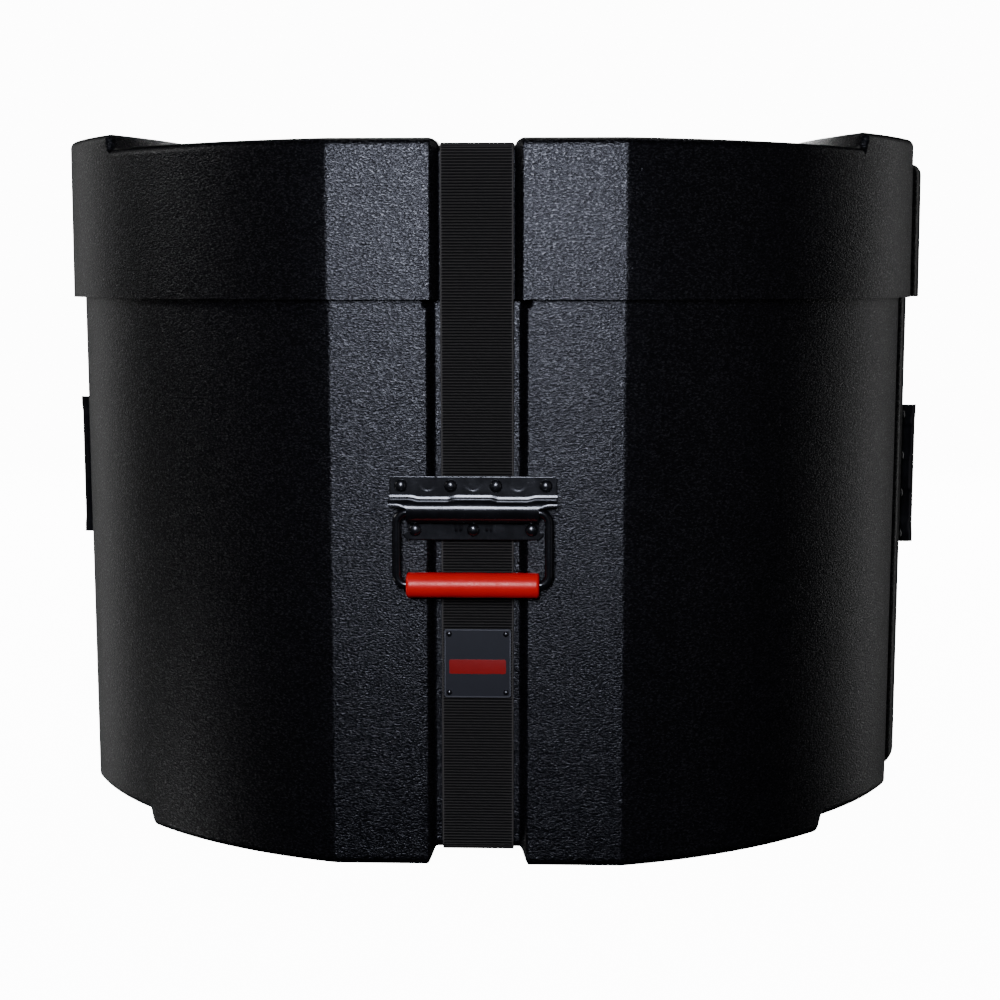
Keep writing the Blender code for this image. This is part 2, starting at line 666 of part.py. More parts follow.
def tube(name, points, radius, cyclic, resolution, frame, finish):
    curve = bpy.data.curves.new(name, "CURVE")
    curve.dimensions = "3D"
    curve.bevel_depth = radius
    curve.bevel_resolution = resolution
    curve.use_fill_caps = True
    spline = curve.splines.new("POLY")
    spline.points.add(len(points) - 1)
    for point, place in zip(spline.points, points):
        point.co = (*place, 1)
    spline.use_cyclic_u = cyclic
    obj = add_object(name, curve, finish)
    obj.matrix_world = frame
    return obj


def make_grip(name, frame):
    bore = ROD_RADIUS + GAP
    half = GRIP_LENGTH / 2
    edge = [(GRIP_RADIUS - cut, half - rise) for rise, cut in rounding(GRIP_ROUND, 2)]
    profile = [(bore, half)] + edge + [(r, -h) for r, h in reversed(edge)] + [(bore, -half)]
    grip = turned(name, profile, GRIP_SIDES, RED_VINYL, closed=True)
    grip.matrix_world = frame @ Matrix.Translation((0, -BAIL_DROP, 0)) @ Matrix.Rotation(math.pi / 2, 4, "Y")


def make_spring(name, frame):
    radius = ROD_RADIUS + SPRING_CLEARANCE + SPRING_WIRE / 2 + GAP
    count = SPRING_TURNS * SPRING_POINTS
    points = []
    for i in range(count + 1):
        angle = 2 * math.pi * i / SPRING_POINTS
        u = SPRING_PITCH * SPRING_TURNS * (i / count - 1 / 2)
        points.append((u, radius * math.cos(angle), radius * math.sin(angle)))
    tube(name, points, SPRING_WIRE / 2, False, 0, frame, SPRING_STEEL)


def make_handle(side_name, seat):
    """One handle; seat is the frame on the wall's surface under the hinge axis."""
    hinge = bpy.data.objects.new(side_name + "_handle_hinge", None)
    bpy.data.collections[PARTS].objects.link(hinge)
    hinge.matrix_world = seat @ Matrix.Translation((0, 0, AXIS_STAND))
    frame = hinge.matrix_world.copy()
    make_bracket(side_name + "_handle_bracket", seat)
    loop = [(u, v, 0) for u, v in bail_points()]
    tube(side_name + "_handle_bail", loop, ROD_RADIUS, True, 2, frame, PAINTED)
    make_grip(side_name + "_handle_grip", frame)
    make_spring(side_name + "_handle_spring", frame)
    top = (FLANGE_TOP + BARREL_OFFSET + BARREL_RADIUS) / 2
    low = -(FLANGE_BOTTOM + BARREL_RADIUS - BARREL_OFFSET) / 2
    places = [(side * u, top) for u in TOP_RIVETS for side in (-1, 1)]
    places += [(u, low) for u in (-LOW_RIVET, 0, LOW_RIVET)]
    for number, (u, v) in enumerate(places, 1):
        place = seat @ Matrix.Translation((u, v, SHEET + GAP))
        dome(f"{side_name}_handle_rivet_{number}", RIVET_RADIUS, RIVET_HEIGHT, place, PAINTED)


def wall_frame(origin, u, v, w):
    rotation = Matrix((u, v, w)).transposed().to_4x4()
    return Matrix.Translation(origin) @ rotation


def make_handles():
    lean, level = math.sin(DRAFT_ANGLE), math.cos(DRAFT_ANGLE)
    z = FRONT_HANDLE_HEIGHT
    place = (FRONT_HANDLE_OFFSET, -base_flat(z) - GAP, z)
    make_handle("front", wall_frame(place, (1, 0, 0), (0, -lean, level), (0, -level, -lean)))
    lean, level = math.sin(SIDE_DRAFT_ANGLE), math.cos(SIDE_DRAFT_ANGLE)
    z = RIGHT_HANDLE_HEIGHT
    place = (base_side_flat(z) + PANEL_RISE + GAP, 0, z)
    make_handle("right", wall_frame(place, (lean, 0, level), (0, -1, 0), (level, 0, -lean)))
    z = LEFT_HANDLE_HEIGHT
    place = (-base_side_flat(z) - PANEL_RISE - GAP, 0, z)
    make_handle("left", wall_frame(place, (lean, 0, -level), (0, -1, 0), (-level, 0, -lean)))


def plate(name, points, low, high, finish=None):
    """A flat outline of (x, y) points between two heights."""
    return loft(name, [[(x, y, z) for x, y in points] for z in (low, high)], finish)


def cut_strap_slot(obj, low, end, inward):
    """The slot that the strap turns up through, and the room under and over the bar at the end."""
    half = (STRAP_WIDTH + STRAP_THICK) / 2
    near = end + inward * STRAP_BAR
    far = near + inward * STRAP_SLOT
    outside = end - inward * OVERRUN
    under = low + STRAP_THICK + GAP
    over = under + STRAP_BAR
    top = low + BUCKLE_THICK + OVERRUN
    rooms = (
        ("slot", near, (low - OVERRUN, top)),
        ("under", outside, (low - OVERRUN, under)),
        ("over", outside, (over, top)),
    )
    for name, y, z in rooms:
        ys = sorted((y, far))
        combine(obj, box(f"{obj.name}_{name}", (-half, ys[0], z[0]), (half, ys[1], z[1])), "DIFFERENCE")


def make_socket(low):
    """The buckle's female half: two plates joined by side walls at the mouth and at the strap's end."""
    half = BUCKLE_WIDTH / 2
    mouth = BUCKLE_MOUTH_Y
    back = mouth - SOCKET_LENGTH
    window = (mouth - MOUTH_LENGTH, mouth - SOCKET_DEPTH)
    corner = SOCKET_WALL
    top = low + BUCKLE_THICK
    socket = plate("buckle_socket", rounded_oblong(half, back, mouth, corner), low, top, ACETAL)
    inside = (low + BUCKLE_PLATE, top - BUCKLE_PLATE)
    clear = half - SOCKET_WALL
    room = box("socket_room", (-clear, window[1], inside[0]), (clear, mouth + OVERRUN, inside[1]))
    combine(socket, room, "DIFFERENCE")
    for side in (-1, 1):
        far = half + OVERRUN
        xs = sorted((side * (half - SOCKET_WALL * 2), side * far))
        name = f"socket_window_{side}"
        combine(socket, box(name, (xs[0], window[1], inside[0]), (xs[1], window[0], inside[1])), "DIFFERENCE")
        middle = sum(window) / 2
        reach = (window[0] - window[1]) / 2 - SOCKET_WAIST / 2
        bulge = (reach**2 + SOCKET_WAIST**2) / (2 * SOCKET_WAIST)
        sweep = math.degrees(math.asin(reach / bulge))
        waist = arc((half + bulge - SOCKET_WAIST, middle), bulge, 180 - sweep, 180 + sweep, 2 * ROUND_STEPS)
        waist += [(far, middle - reach), (far, middle + reach)]
        points = [(side * x, y) for x, y in waist]
        cutter = plate(f"socket_waist_{side}", points, low - OVERRUN, top + OVERRUN)
        combine(socket, cutter, "DIFFERENCE")
    cut_strap_slot(socket, low, back, 1)


def make_plug(low):
    """The buckle's male half: a block with the strap's slot and a tongue between the two levers."""
    half = BUCKLE_WIDTH / 2
    start = BUCKLE_MOUTH_Y + GAP * 2
    end = BUCKLE_MOUTH_Y + PLUG_LENGTH
    inside = (low + BUCKLE_PLATE + LEVER_CLEARANCE, low + BUCKLE_THICK - BUCKLE_PLATE - LEVER_CLEARANCE)
    points = rounded_oblong(half, start, end, SOCKET_WALL - PLUG_RECESS)
    block = plate("buckle_plug", points, low + PLUG_RECESS, low + BUCKLE_THICK - PLUG_RECESS, ACETAL)
    tongue = box("plug_tongue", (-TONGUE_HALF, BUCKLE_MOUTH_Y - TONGUE_LENGTH, inside[0]),
                 (TONGUE_HALF, start + SOCKET_WALL, inside[1]))
    combine(block, tongue, "UNION")
    cut_strap_slot(block, low, end, -1)
    points = [(across * LEVER_REACH - LEVER_PIVOT, -along * LEVER_LENGTH) for across, along in LEVER_SHARES]
    for side, name in ((1, "right"), (-1, "left")):
        lever = plate(f"buckle_lever_{name}", [(side * x, y) for x, y in points], *inside, ACETAL)
        lever.location = (side * LEVER_PIVOT, BUCKLE_MOUTH_Y, 0)


def make_buckle():
    low = LIP_HEIGHT - TOP_CHANNEL_DEPTH + GAP
    make_socket(low)
    make_plug(low)


def main():
    clear_scene()
    make_collection(PARTS)
    make_collection(CUTTERS)
    make_shells()
    make_foam()
    make_strap()
    make_nameplate()
    make_handles()
    make_buckle()


main()
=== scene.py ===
"""A drum case with a telescoping lid, a webbing strap with a buckle and three sprung handles, for rendering.
Metres, +Z up, front towards -Y."""

import math
from collections import namedtuple

import bmesh
import bpy
from mathutils import Matrix, Vector


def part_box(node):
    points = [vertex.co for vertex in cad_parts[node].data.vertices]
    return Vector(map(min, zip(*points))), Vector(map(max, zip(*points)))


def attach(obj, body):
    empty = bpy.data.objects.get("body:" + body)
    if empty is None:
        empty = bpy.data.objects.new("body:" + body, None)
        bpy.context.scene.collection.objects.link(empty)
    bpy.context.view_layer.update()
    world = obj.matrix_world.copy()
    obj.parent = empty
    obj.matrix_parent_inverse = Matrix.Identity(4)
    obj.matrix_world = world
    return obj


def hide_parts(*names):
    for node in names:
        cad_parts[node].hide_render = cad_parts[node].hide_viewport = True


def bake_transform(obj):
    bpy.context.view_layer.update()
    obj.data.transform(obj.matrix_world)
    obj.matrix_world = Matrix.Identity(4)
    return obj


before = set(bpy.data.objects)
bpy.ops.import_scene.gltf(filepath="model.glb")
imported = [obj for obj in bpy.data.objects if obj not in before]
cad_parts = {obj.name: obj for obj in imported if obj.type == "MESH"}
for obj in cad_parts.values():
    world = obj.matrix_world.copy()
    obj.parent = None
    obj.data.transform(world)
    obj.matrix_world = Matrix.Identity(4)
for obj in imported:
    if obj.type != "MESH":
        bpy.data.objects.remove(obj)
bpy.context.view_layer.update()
scene = bpy.context.scene

# Materials
# Shader nodes made from Python sums and calls. Each finish stands beside the first piece that has it.


class Value:
    """A shader socket that takes part in Python sums; each sum adds a Math node."""

    def __init__(self, finish, socket):
        self.finish = finish
        self.socket = socket

    def sum(self, operation, first, second):
        return self.finish.node("ShaderNodeMath", {"operation": operation}, {0: first, 1: second})

    def __add__(self, other):
        return self.sum("ADD", self, other)

    __radd__ = __add__

    def __sub__(self, other):
        return self.sum("SUBTRACT", self, other)

    def __rsub__(self, other):
        return self.sum("SUBTRACT", other, self)

    def __mul__(self, other):
        return self.sum("MULTIPLY", self, other)

    def __pow__(self, other):
        return self.sum("POWER", self, other)


class Finish:
    """A material on a Principled shader, whose nodes are made from Python; its place is in metres in the
    piece's own frame."""

    def __init__(self, name, colour, roughness, metallic=0.0, **sockets):
        self.material = bpy.data.materials.new(name)
        self.material.use_nodes = True
        self.tree = self.material.node_tree
        self.shader = self.tree.nodes["Principled BSDF"]
        self.set(Base_Color=(*colour, 1), Roughness=roughness, Metallic=metallic, **sockets)
        self.material.diffuse_color = (*colour, 1)
        self.place = self.node("ShaderNodeTexCoord", out=3)

    def feed(self, socket, value):
        if isinstance(value, Value):
            self.tree.links.new(value.socket, socket)
        else:
            socket.default_value = value

    def set(self, **sockets):
        for name, value in sockets.items():
            self.feed(self.shader.inputs[name.replace("_", " ")], value)

    def node(self, kind, settings=None, inputs=None, out=0):
        """A new node, with its settings set before its sockets; gives the output with the number out."""
        made = self.tree.nodes.new(kind)
        for name, value in (settings or {}).items():
            if name == "stops":
                ramp = made.color_ramp
                while len(ramp.elements) < len(value):
                    ramp.elements.new(0.5)
                for element, (place, shade) in zip(ramp.elements, value):
                    element.position = place
                    element.color = (shade, shade, shade, 1)
            else:
                setattr(made, name, value)
        for name, value in (inputs or {}).items():
            self.feed(made.inputs[name], value)
        return Value(self, made.outputs[out])

    def noise(self, size, detail=2.0, roughness=0.5, distortion=0.0, place=None):
        sockets = {"Vector": place or self.place, "Scale": 1 / size, "Detail": detail,
                   "Roughness": roughness, "Distortion": distortion}
        return self.node("ShaderNodeTexNoise", {}, sockets)

    def cells(self, size, feature="F1", smoothness=None, place=None):
        sockets = {"Vector": place or self.place, "Scale": 1 / size}
        if smoothness is not None:
            sockets["Smoothness"] = smoothness
        return self.node("ShaderNodeTexVoronoi", {"feature": feature}, sockets)

    def ramp(self, value, *stops):
        return self.node("ShaderNodeValToRGB", {"stops": stops}, {0: value})

    def mix(self, factor, first, second):
        settings = {"data_type": "RGBA"}
        return self.node("ShaderNodeMix", settings, {0: factor, 6: (*first, 1), 7: (*second, 1)}, out=2)

    def bump(self, height, metres):
        return self.node("ShaderNodeBump", {}, {"Height": height, "Distance": metres, "Strength": 1.0})


# Camera and studio
# A long lens a little right of the case's middle and just under its lid, tipped slightly down. The case
# stands on a pale floor before a white background, and soft boxes light it.

CAMERA_AWAY = 1.69
CAMERA_HEIGHT = 0.416
CAMERA_TURN = math.radians(2.3)
CAMERA_DOWN = math.radians(6.4)
CASE_LEFT_OF_MIDDLE = math.radians(0.12)
LENS = 70.9
SENSOR = 36.0

camera_data = bpy.data.cameras.new("camera")
camera_data.lens = LENS
camera_data.sensor_width = SENSOR
camera = bpy.data.objects.new("camera", camera_data)
camera.location = (CAMERA_AWAY * math.sin(CAMERA_TURN), -CAMERA_AWAY * math.cos(CAMERA_TURN), CAMERA_HEIGHT)
camera.rotation_euler = (math.pi / 2 - CAMERA_DOWN, 0, CAMERA_TURN - CASE_LEFT_OF_MIDDLE)
scene.collection.objects.link(camera)
scene.camera = camera

FLOOR_HALF = 6.0
FLOOR_DROP = 0.0005
PAPER_GLOW = 13.0
WHITE = (1, 1, 1, 1)

corners = [(x * FLOOR_HALF, y * FLOOR_HALF, -FLOOR_DROP) for x, y in ((-1, -1), (1, -1), (1, 1), (-1, 1))]
floor_mesh = bpy.data.meshes.new("floor")
floor_mesh.from_pydata(corners, [], [(0, 1, 2, 3)])
floor = bpy.data.objects.new("floor", floor_mesh)
scene.collection.objects.link(floor)
floor.visible_glossy = False
floor.visible_diffuse = False
floor.visible_shadow = False
paper = Finish("paper", (0.92, 0.92, 0.92), 0.9, Emission_Color=WHITE, Emission_Strength=PAPER_GLOW)
floor_mesh.materials.append(paper.material)

world = bpy.data.worlds.new("studio")
world.use_nodes = True
world_inputs = world.node_tree.nodes["Background"].inputs
world_inputs["Color"].default_value = WHITE
world_inputs["Strength"].default_value = PAPER_GLOW
world.cycles_visibility.glossy = False
world.cycles_visibility.diffuse = False
scene.world = world

LAMP_AIM = Vector((0, 0, 0.26))


def soft_box(name, azimuth, elevation, away, width, height, power, colour=(1, 1, 1)):
    """A rectangular lamp aimed at the case; azimuth 0 is in front of it and grows to its right."""
    turn, rise = math.radians(azimuth), math.radians(elevation)
    direction = Vector((math.sin(turn) * math.cos(rise), -math.cos(turn) * math.cos(rise), math.sin(rise)))
    data = bpy.data.lights.new(name, "AREA")
    data.shape = "RECTANGLE"
    data.size = width
    data.size_y = height
    data.energy = power
    data.color = colour
    lamp = bpy.data.objects.new(name, data)
    lamp.location = LAMP_AIM + direction * away
    lamp.rotation_euler = (-direction).to_track_quat("-Z", "Y").to_euler()
    lamp.visible_camera = False
    scene.collection.objects.link(lamp)


soft_box("front_box", -1.9, 14.7, 1.75, 0.26, 0.44, 17.5, colour=(0.77, 0.82, 1.0))
soft_box("left_box", -126, 2, 2.4, 0.5, 2.4, 3.4)
soft_box("left_near_box", -102, 2, 2.4, 0.4, 2.4, 0.55)
soft_box("left_high_box", -86, 24, 2.6, 0.4, 0.5, 6.0)
soft_box("left_floor_box", -90, -26, 2.4, 0.5, 0.4, 2.2)
soft_box("right_box", 118, 5, 2.4, 0.5, 2.4, 4.5)
soft_box("left_fill", -58, 4, 3.0, 1.6, 2.2, 0.8, colour=(0.92, 0.88, 1.0))
soft_box("right_fill", 56, 4, 3.0, 1.6, 2.2, 1.8, colour=(0.92, 0.90, 1.0))
soft_box("top_box", 180, 66, 2.4, 1.2, 1.0, 6)
soft_box("back_box", 180, 14, 2.6, 1.3, 0.9, 45)

# Base shell
# A tub moulded in one from black polyethylene: a circle in plan with four flats, a strap channel down the
# front and the back and across the underside, a low middle band to stand on and a raised panel on each side.

BASE_RADIUS = 0.3435
BASE_DRAFT = 0.003
FLAT_HALF_ANGLE = math.radians(17.7)
SIDE_FLAT_HALF_ANGLE = math.radians(21.4)
SIDE_FULLNESS = 0.003
WALL = 0.0045
SEAM = 0.402
EDGE_ROUND = 0.0062
BASE_FRONT_FALL = 0.0005
LID_FRONT_FALL = 0.0012
FOOT_HEIGHT = 0.0115
FOOT_BAND = 0.197
BAND_RADIUS = 0.520
BAND_SLOPE = 0.0065
PANEL_HALF = 0.070
PANEL_RISE = 0.0217
PANEL_FALL = 0.0088
PANEL_FALL_WIDTH = 0.040
PANEL_ROUND = 0.006
PANEL_SLOPE = 0.002
BASE_PANEL_END_ROUND = 0.012
PANEL_END_SLACK = 0.0002
Channel = namedtuple("Channel", "face_half floor_half depth")
BASE_CHANNEL = Channel(0.03575, 0.0289, 0.007)
NECK_CHANNEL = Channel(0.03885, 0.034, 0.0084)
NECK_RAMP = 0.006
ROUND_ROWS = 8
TURN_ROWS = 12
CHANNEL_ZONE = (0.024, 0.041)
CHANNEL_STEP = 0.0007
CHANNEL_FLOOR_STEP = 0.004
FLAT_STEP = 0.005
CREASE = 0.0015
CREASE_START = 0.05
BAND_ZONE = 0.014
SHARE_STEP = 0.02
BAND_STEP = 0.0022
BOW_START = 0.06
BASE_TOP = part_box("base_shell")[1][2]


def clamp(t):
    return max(0.0, min(1.0, t))


def smooth(t):
    t = clamp(t)
    return t * t * (3 - 2 * t)


def lerp(a, b, t):
    return a + (b - a) * t


def channel_drop(across, face_half, floor_half, depth):
    """Depth of a channel with sloping, rounded sides at a distance from its middle."""
    t = (abs(across) - floor_half) / (face_half - floor_half)
    return depth * (1 + math.cos(math.pi * clamp(t))) / 2


def band_side(half, y):
    """Half width of a middle band, which is narrowest at y 0 and widens on a wide curve."""
    return half + BAND_RADIUS - math.sqrt(BAND_RADIUS**2 - y**2)


def front_fall(radius):
    """How far the circle is drawn in where it meets the front flat."""
    return BASE_FRONT_FALL if radius < BASE_RADIUS + 0.001 else LID_FRONT_FALL


def flat_corners(radius, inset):
    """Angles from the side flat's middle and from the front flat's middle to their corners."""
    reach = radius - inset
    side = math.acos((radius * math.cos(SIDE_FLAT_HALF_ANGLE) - inset) / (reach + SIDE_FULLNESS))
    return side, math.acos((radius * math.cos(FLAT_HALF_ANGLE) - inset) / (reach - front_fall(radius)))


def arc_place(radius, inset, share):
    """Plan point in the first quarter, share of the way from the side flat's corner to the front flat's. The
    circle swells a little towards the side."""
    side, front = flat_corners(radius, inset)
    angle = side + share * (math.pi / 2 - side - front)
    swollen = radius - inset + SIDE_FULLNESS * (1 - share) ** 2 - front_fall(radius) * share**3
    return swollen * math.cos(angle), swollen * math.sin(angle)


def band_angle(radius, half):
    """Angle from the side at which the band's edge meets the round wall."""
    low, high = FLAT_HALF_ANGLE, math.pi / 2 - FLAT_HALF_ANGLE
    for _ in range(40):
        middle = (low + high) / 2
        outside = radius * math.cos(middle) > band_side(half, radius * math.sin(middle))
        low, high = (middle, high) if outside else (low, middle)
    return low


def spread(start, end, step):
    """Even places from start up to, but not with, end."""
    count = max(1, round(abs(end - start) / step))
    return [lerp(start, end, i / count) for i in range(count)]


def unit_points(angles):
    return [(math.cos(angle), math.sin(angle)) for angle in angles]


def quarter_turn(steps):
    """Points of a quarter of a unit circle, with both its ends."""
    return unit_points(math.pi / 2 * i / steps for i in range(steps + 1))


def front_stations(radius, half):
    """Places along the front half of the outline, left to right: ("arc", side, share) or ("flat", x)."""
    reach = radius * math.sin(FLAT_HALF_ANGLE)
    places = spread(0, CHANNEL_ZONE[0], CHANNEL_FLOOR_STEP) + spread(*CHANNEL_ZONE, CHANNEL_STEP)
    places += spread(CHANNEL_ZONE[1], reach - 4 * CREASE, FLAT_STEP)
    places += [reach - 4 * CREASE, reach - 2 * CREASE, reach - CREASE]
    side_corner, front_corner = flat_corners(radius, 0)
    sweep = math.pi / 2 - side_corner - front_corner
    edge = (band_angle(radius, half) - side_corner) / sweep
    near = BAND_ZONE / radius / sweep
    crease = CREASE / radius / sweep
    shares = [0, crease, 2 * crease]
    shares += spread(4 * crease, edge - near, SHARE_STEP) + spread(edge - near, edge + near, BAND_STEP)
    shares += spread(edge + near, 1 - 4 * crease, SHARE_STEP)
    shares += [1 - 4 * crease, 1 - 2 * crease, 1 - crease, 1]
    left = [("arc", -1, share) for share in shares]
    flat = [("flat", -x) for x in reversed(places[1:])] + [("flat", x) for x in places]
    return left + flat + [("arc", 1, share) for share in reversed(shares)]


def side_shares(panel_half, radius):
    """Places along a side flat, from the front corner (-1) to the back corner (1)."""
    reach = (radius + SIDE_FULLNESS) * math.sin(flat_corners(radius, 0)[0])
    low, high = (panel_half - PANEL_ROUND) / reach, (panel_half + PANEL_SLOPE + 0.001) / reach
    half = spread(0, 0.30, 0.012) + spread(0.30, low, 0.03)
    half += spread(low, high, 0.005) + spread(high, 1, 0.03) + [1]
    return [-share for share in reversed(half[1:])] + half


def front_place(station, radius, inset):
    """Plan point on the front half of the outline, moved inwards."""
    if station[0] == "arc":
        x, y = arc_place(radius, inset, station[2])
        return station[1] * x, -y
    x = station[1]
    full = radius * math.sin(FLAT_HALF_ANGLE)
    corner = (radius - inset - front_fall(radius)) * math.sin(flat_corners(radius, inset)[1])
    shift = (corner - full) * smooth((abs(x) - CREASE_START) / (full - CREASE_START))
    return x + math.copysign(1, x) * shift, inset - radius * math.cos(FLAT_HALF_ANGLE)


def loft(bm, rings, closed_rows=False, closed_columns=True):
    """Vertices for rings of points and the faces between the rings; gives the rows of vertices."""
    rows = [[bm.verts.new(point) for point in ring] for ring in rings]
    for i in range(len(rows) if closed_rows else len(rows) - 1):
        a, b = rows[i], rows[(i + 1) % len(rows)]
        for j in range(len(a) if closed_columns else len(a) - 1):
            k = (j + 1) % len(a)
            bm.faces.new((a[j], a[k], b[k], b[j]))
    return rows


def linked_object(name, bm):
    mesh = bpy.data.meshes.new(name)
    bm.to_mesh(mesh)
    bm.free()
    obj = bpy.data.objects.new(name, mesh)
    scene.collection.objects.link(obj)
    return obj


def finish_shading(obj, degrees):
    obj.data.shade_smooth()
    obj.data.set_sharp_from_angle(angle=math.radians(degrees))


def finished_mesh(name, bm, degrees=40, place=None):
    """An object from a bmesh, turned outwards and shaded, with its points at place times theirs."""
    if place is not None:
        bmesh.ops.transform(bm, matrix=place, verts=bm.verts)
    bmesh.ops.recalc_face_normals(bm, faces=bm.faces)
    obj = linked_object(name, bm)
    finish_shading(obj, degrees)
    return obj


def apply_modifiers(obj):
    """Swaps the object's mesh for what its modifiers make of it."""
    graph = bpy.context.evaluated_depsgraph_get()
    made = bpy.data.meshes.new_from_object(obj.evaluated_get(graph))
    obj.modifiers.clear()
    obj.data = made


def walled_object(name, bm, up, thickness):
    """A wall whose outer face is the surface in the bmesh, which looks up (1) or down (-1)."""
    bmesh.ops.recalc_face_normals(bm, faces=bm.faces)
    bm.normal_update()
    if sum(face.normal.z * face.calc_area() for face in bm.faces) * up < 0:
        bmesh.ops.reverse_faces(bm, faces=bm.faces)
    obj = linked_object(name, bm)
    solid = obj.modifiers.new("wall", "SOLIDIFY")
    solid.thickness = thickness
    solid.offset = -1
    apply_modifiers(obj)
    return obj


def moulding(name, radius_at, rows, end_at, drop_at, band_half, panel, up):
    """One half of the case: its wall from the open rim to a rounded edge, and the closed end. rows are
    heights, end_at(x, y) is the end's height and drop_at the channel's depth. panel is (half, end, round)."""
    nominal = radius_at(rows[0])
    front = front_stations(nominal, band_half)
    shares = side_shares(panel[0], nominal)
    columns, lines = len(front) - 1, len(shares) - 1

    def ring(height_of, inset):
        """Points round the outline; height_of gives each one's height from its plan place."""
        halves, flats = {-1: [], 1: []}, {-1: [], 1: []}
        for side in (-1, 1):
            for station in front:
                x, y = front_place(station, nominal, 0)
                z = height_of(x, y * -side)
                x, y = front_place(station, radius_at(z), inset)
                drop = drop_at(x, z) if station[0] == "flat" else 0
                halves[side].append((x, side * (-y - drop), z))
            for share in shares[1:-1]:
                flat, corner = arc_place(nominal, 0, 0)
                along = share * corner
                z = height_of(side * flat, along)
                flat, corner = arc_place(radius_at(z), inset, 0)
                flat += panel_rise(along, z, inset, -up, *panel)
                flats[side].append((side * flat, share * corner, z))
        return halves[-1] + flats[1] + list(reversed(halves[1])) + list(reversed(flats[-1]))

    def turn_height(x, y):
        inner = 1 - EDGE_ROUND / nominal
        return end_at(x * inner, y * inner) - up * EDGE_ROUND

    rings = [ring(lambda x, y, z=z: z, 0) for z in rows]
    last = rows[-1]
    for step in range(1, TURN_ROWS + 1):
        share = step / TURN_ROWS
        rings.append(ring(lambda x, y, share=share: lerp(last, turn_height(x, y), share), 0))
    for out, rise in quarter_turn(ROUND_ROWS)[1:]:
        rise *= up * EDGE_ROUND
        rings.append(ring(lambda x, y, rise=rise: turn_height(x, y) + rise, EDGE_ROUND * (1 - out)))

    bm = bmesh.new()
    edge = loft(bm, rings)[-1]
    flat = arc_place(nominal, EDGE_ROUND, 0)[0]
    angle = band_angle(nominal, band_half)
    meet = nominal * math.cos(angle) - EDGE_ROUND
    grid = {}
    for i in range(columns + 1):
        grid[i, 0] = edge[i]
        grid[i, lines] = edge[2 * columns + lines - i]
    for j in range(1, lines):
        grid[columns, j] = edge[columns + j]
        grid[0, j] = edge[2 * columns + 2 * lines - j]
    for i in range(1, columns):
        start = edge[i].co
        across, deep = abs(start.x), -start.y
        weight = smooth((across - BOW_START) / (meet - BOW_START))
        if across > meet:
            weight = 1 - smooth((across - meet) / (flat - meet))
        apex = across - weight * band_side(0, deep)
        for j in range(1, lines):
            y = shares[j] * deep
            x = math.copysign(apex + weight * band_side(0, y), start.x)
            grid[i, j] = bm.verts.new((x, y, end_at(x, y)))
    for i in range(columns):
        for j in range(lines):
            bm.faces.new((grid[i, j], grid[i + 1, j], grid[i + 1, j + 1], grid[i, j + 1]))
    obj = walled_object(name, bm, up, WALL)
    finish_shading(obj, 40)
    return obj


def base_radius(z):
    return BASE_RADIUS - BASE_DRAFT * max(0.0, 1 - z / SEAM)


def base_end(x, y):
    side = smooth((abs(x) - band_side(FOOT_BAND, y)) / BAND_SLOPE)
    return max(FOOT_HEIGHT * side, channel_drop(x, *BASE_CHANNEL[:2], FOOT_HEIGHT))


def base_drop(x, z):
    t = (z - SEAM + NECK_RAMP) / NECK_RAMP
    return lerp(channel_drop(x, *BASE_CHANNEL), channel_drop(x, *NECK_CHANNEL), clamp(t))


def quarter_drop(inside, radius, depth=None):
    """Drop of a rounded edge at a distance inside it; its depth is its radius unless another is given."""
    t = clamp(1 - inside / radius)
    return (depth or radius) * (1 - math.sqrt(1 - t * t))


def panel_rise(along, z, inset, up, half, end, end_round):
    """A panel that is level in the middle, falls away to its long edges and has steep sides and rounded
    ends. end is the height where it starts, and up the way it goes from there."""
    inside = half - abs(along)
    fall = PANEL_FALL * clamp(1 - inside / PANEL_FALL_WIDTH) ** 2
    top = PANEL_RISE + inset - fall - quarter_drop(inside, PANEL_ROUND)
    from_end = up * (z - end)
    if from_end < -PANEL_END_SLACK:
        return 0.0
    top -= quarter_drop(from_end, end_round)
    return max(0.0, top) * smooth((inside + PANEL_SLOPE) / PANEL_SLOPE)


def pebbled_polyethylene():
    """Black moulded plastic with a fine wrinkled grain, 2 mm long and 1 mm high: the ridges shine, and the
    hollows between them swallow the light."""
    finish = Finish("polyethylene_black", (0.0045, 0.0045, 0.0055), 0.31, Specular_IOR_Level=0.62)
    squeeze = {0: finish.place, 1: (1.0, 1.0, 1.8)}
    flatter = finish.node("ShaderNodeVectorMath", {"operation": "MULTIPLY"}, squeeze)
    wrinkles = finish.noise(0.0021, 2.0, 0.6, 0.6, flatter)
    pebbles = finish.cells(0.0019, "SMOOTH_F1", 0.35, flatter)
    pits = finish.noise(0.0006)
    height = wrinkles * 0.75 + (1 - pebbles) * 0.35 + pits * 0.10
    relief = wrinkles * 0.8 + (1 - pebbles) * 0.2
    hollows = finish.ramp(relief, (0.46, 1.0), (0.62, 0.0))
    glints = finish.ramp(relief, (0.58, 0.0), (0.70, 1.0))
    wear = finish.ramp(finish.noise(0.11, 4.0, 0.6), (0.35, 0.0), (0.75, 1.0))
    finish.set(
        Base_Color=finish.mix(wear, (0.0044, 0.0042, 0.0054), (0.0064, 0.0061, 0.0076)),
        Metallic=hollows * 0.7,
        Roughness=0.30 + wear * 0.02 - glints * 0.015,
        Coat_Weight=glints,
        Coat_Roughness=0.30,
        Normal=finish.bump(height, 0.0005),
    )
    return finish.material


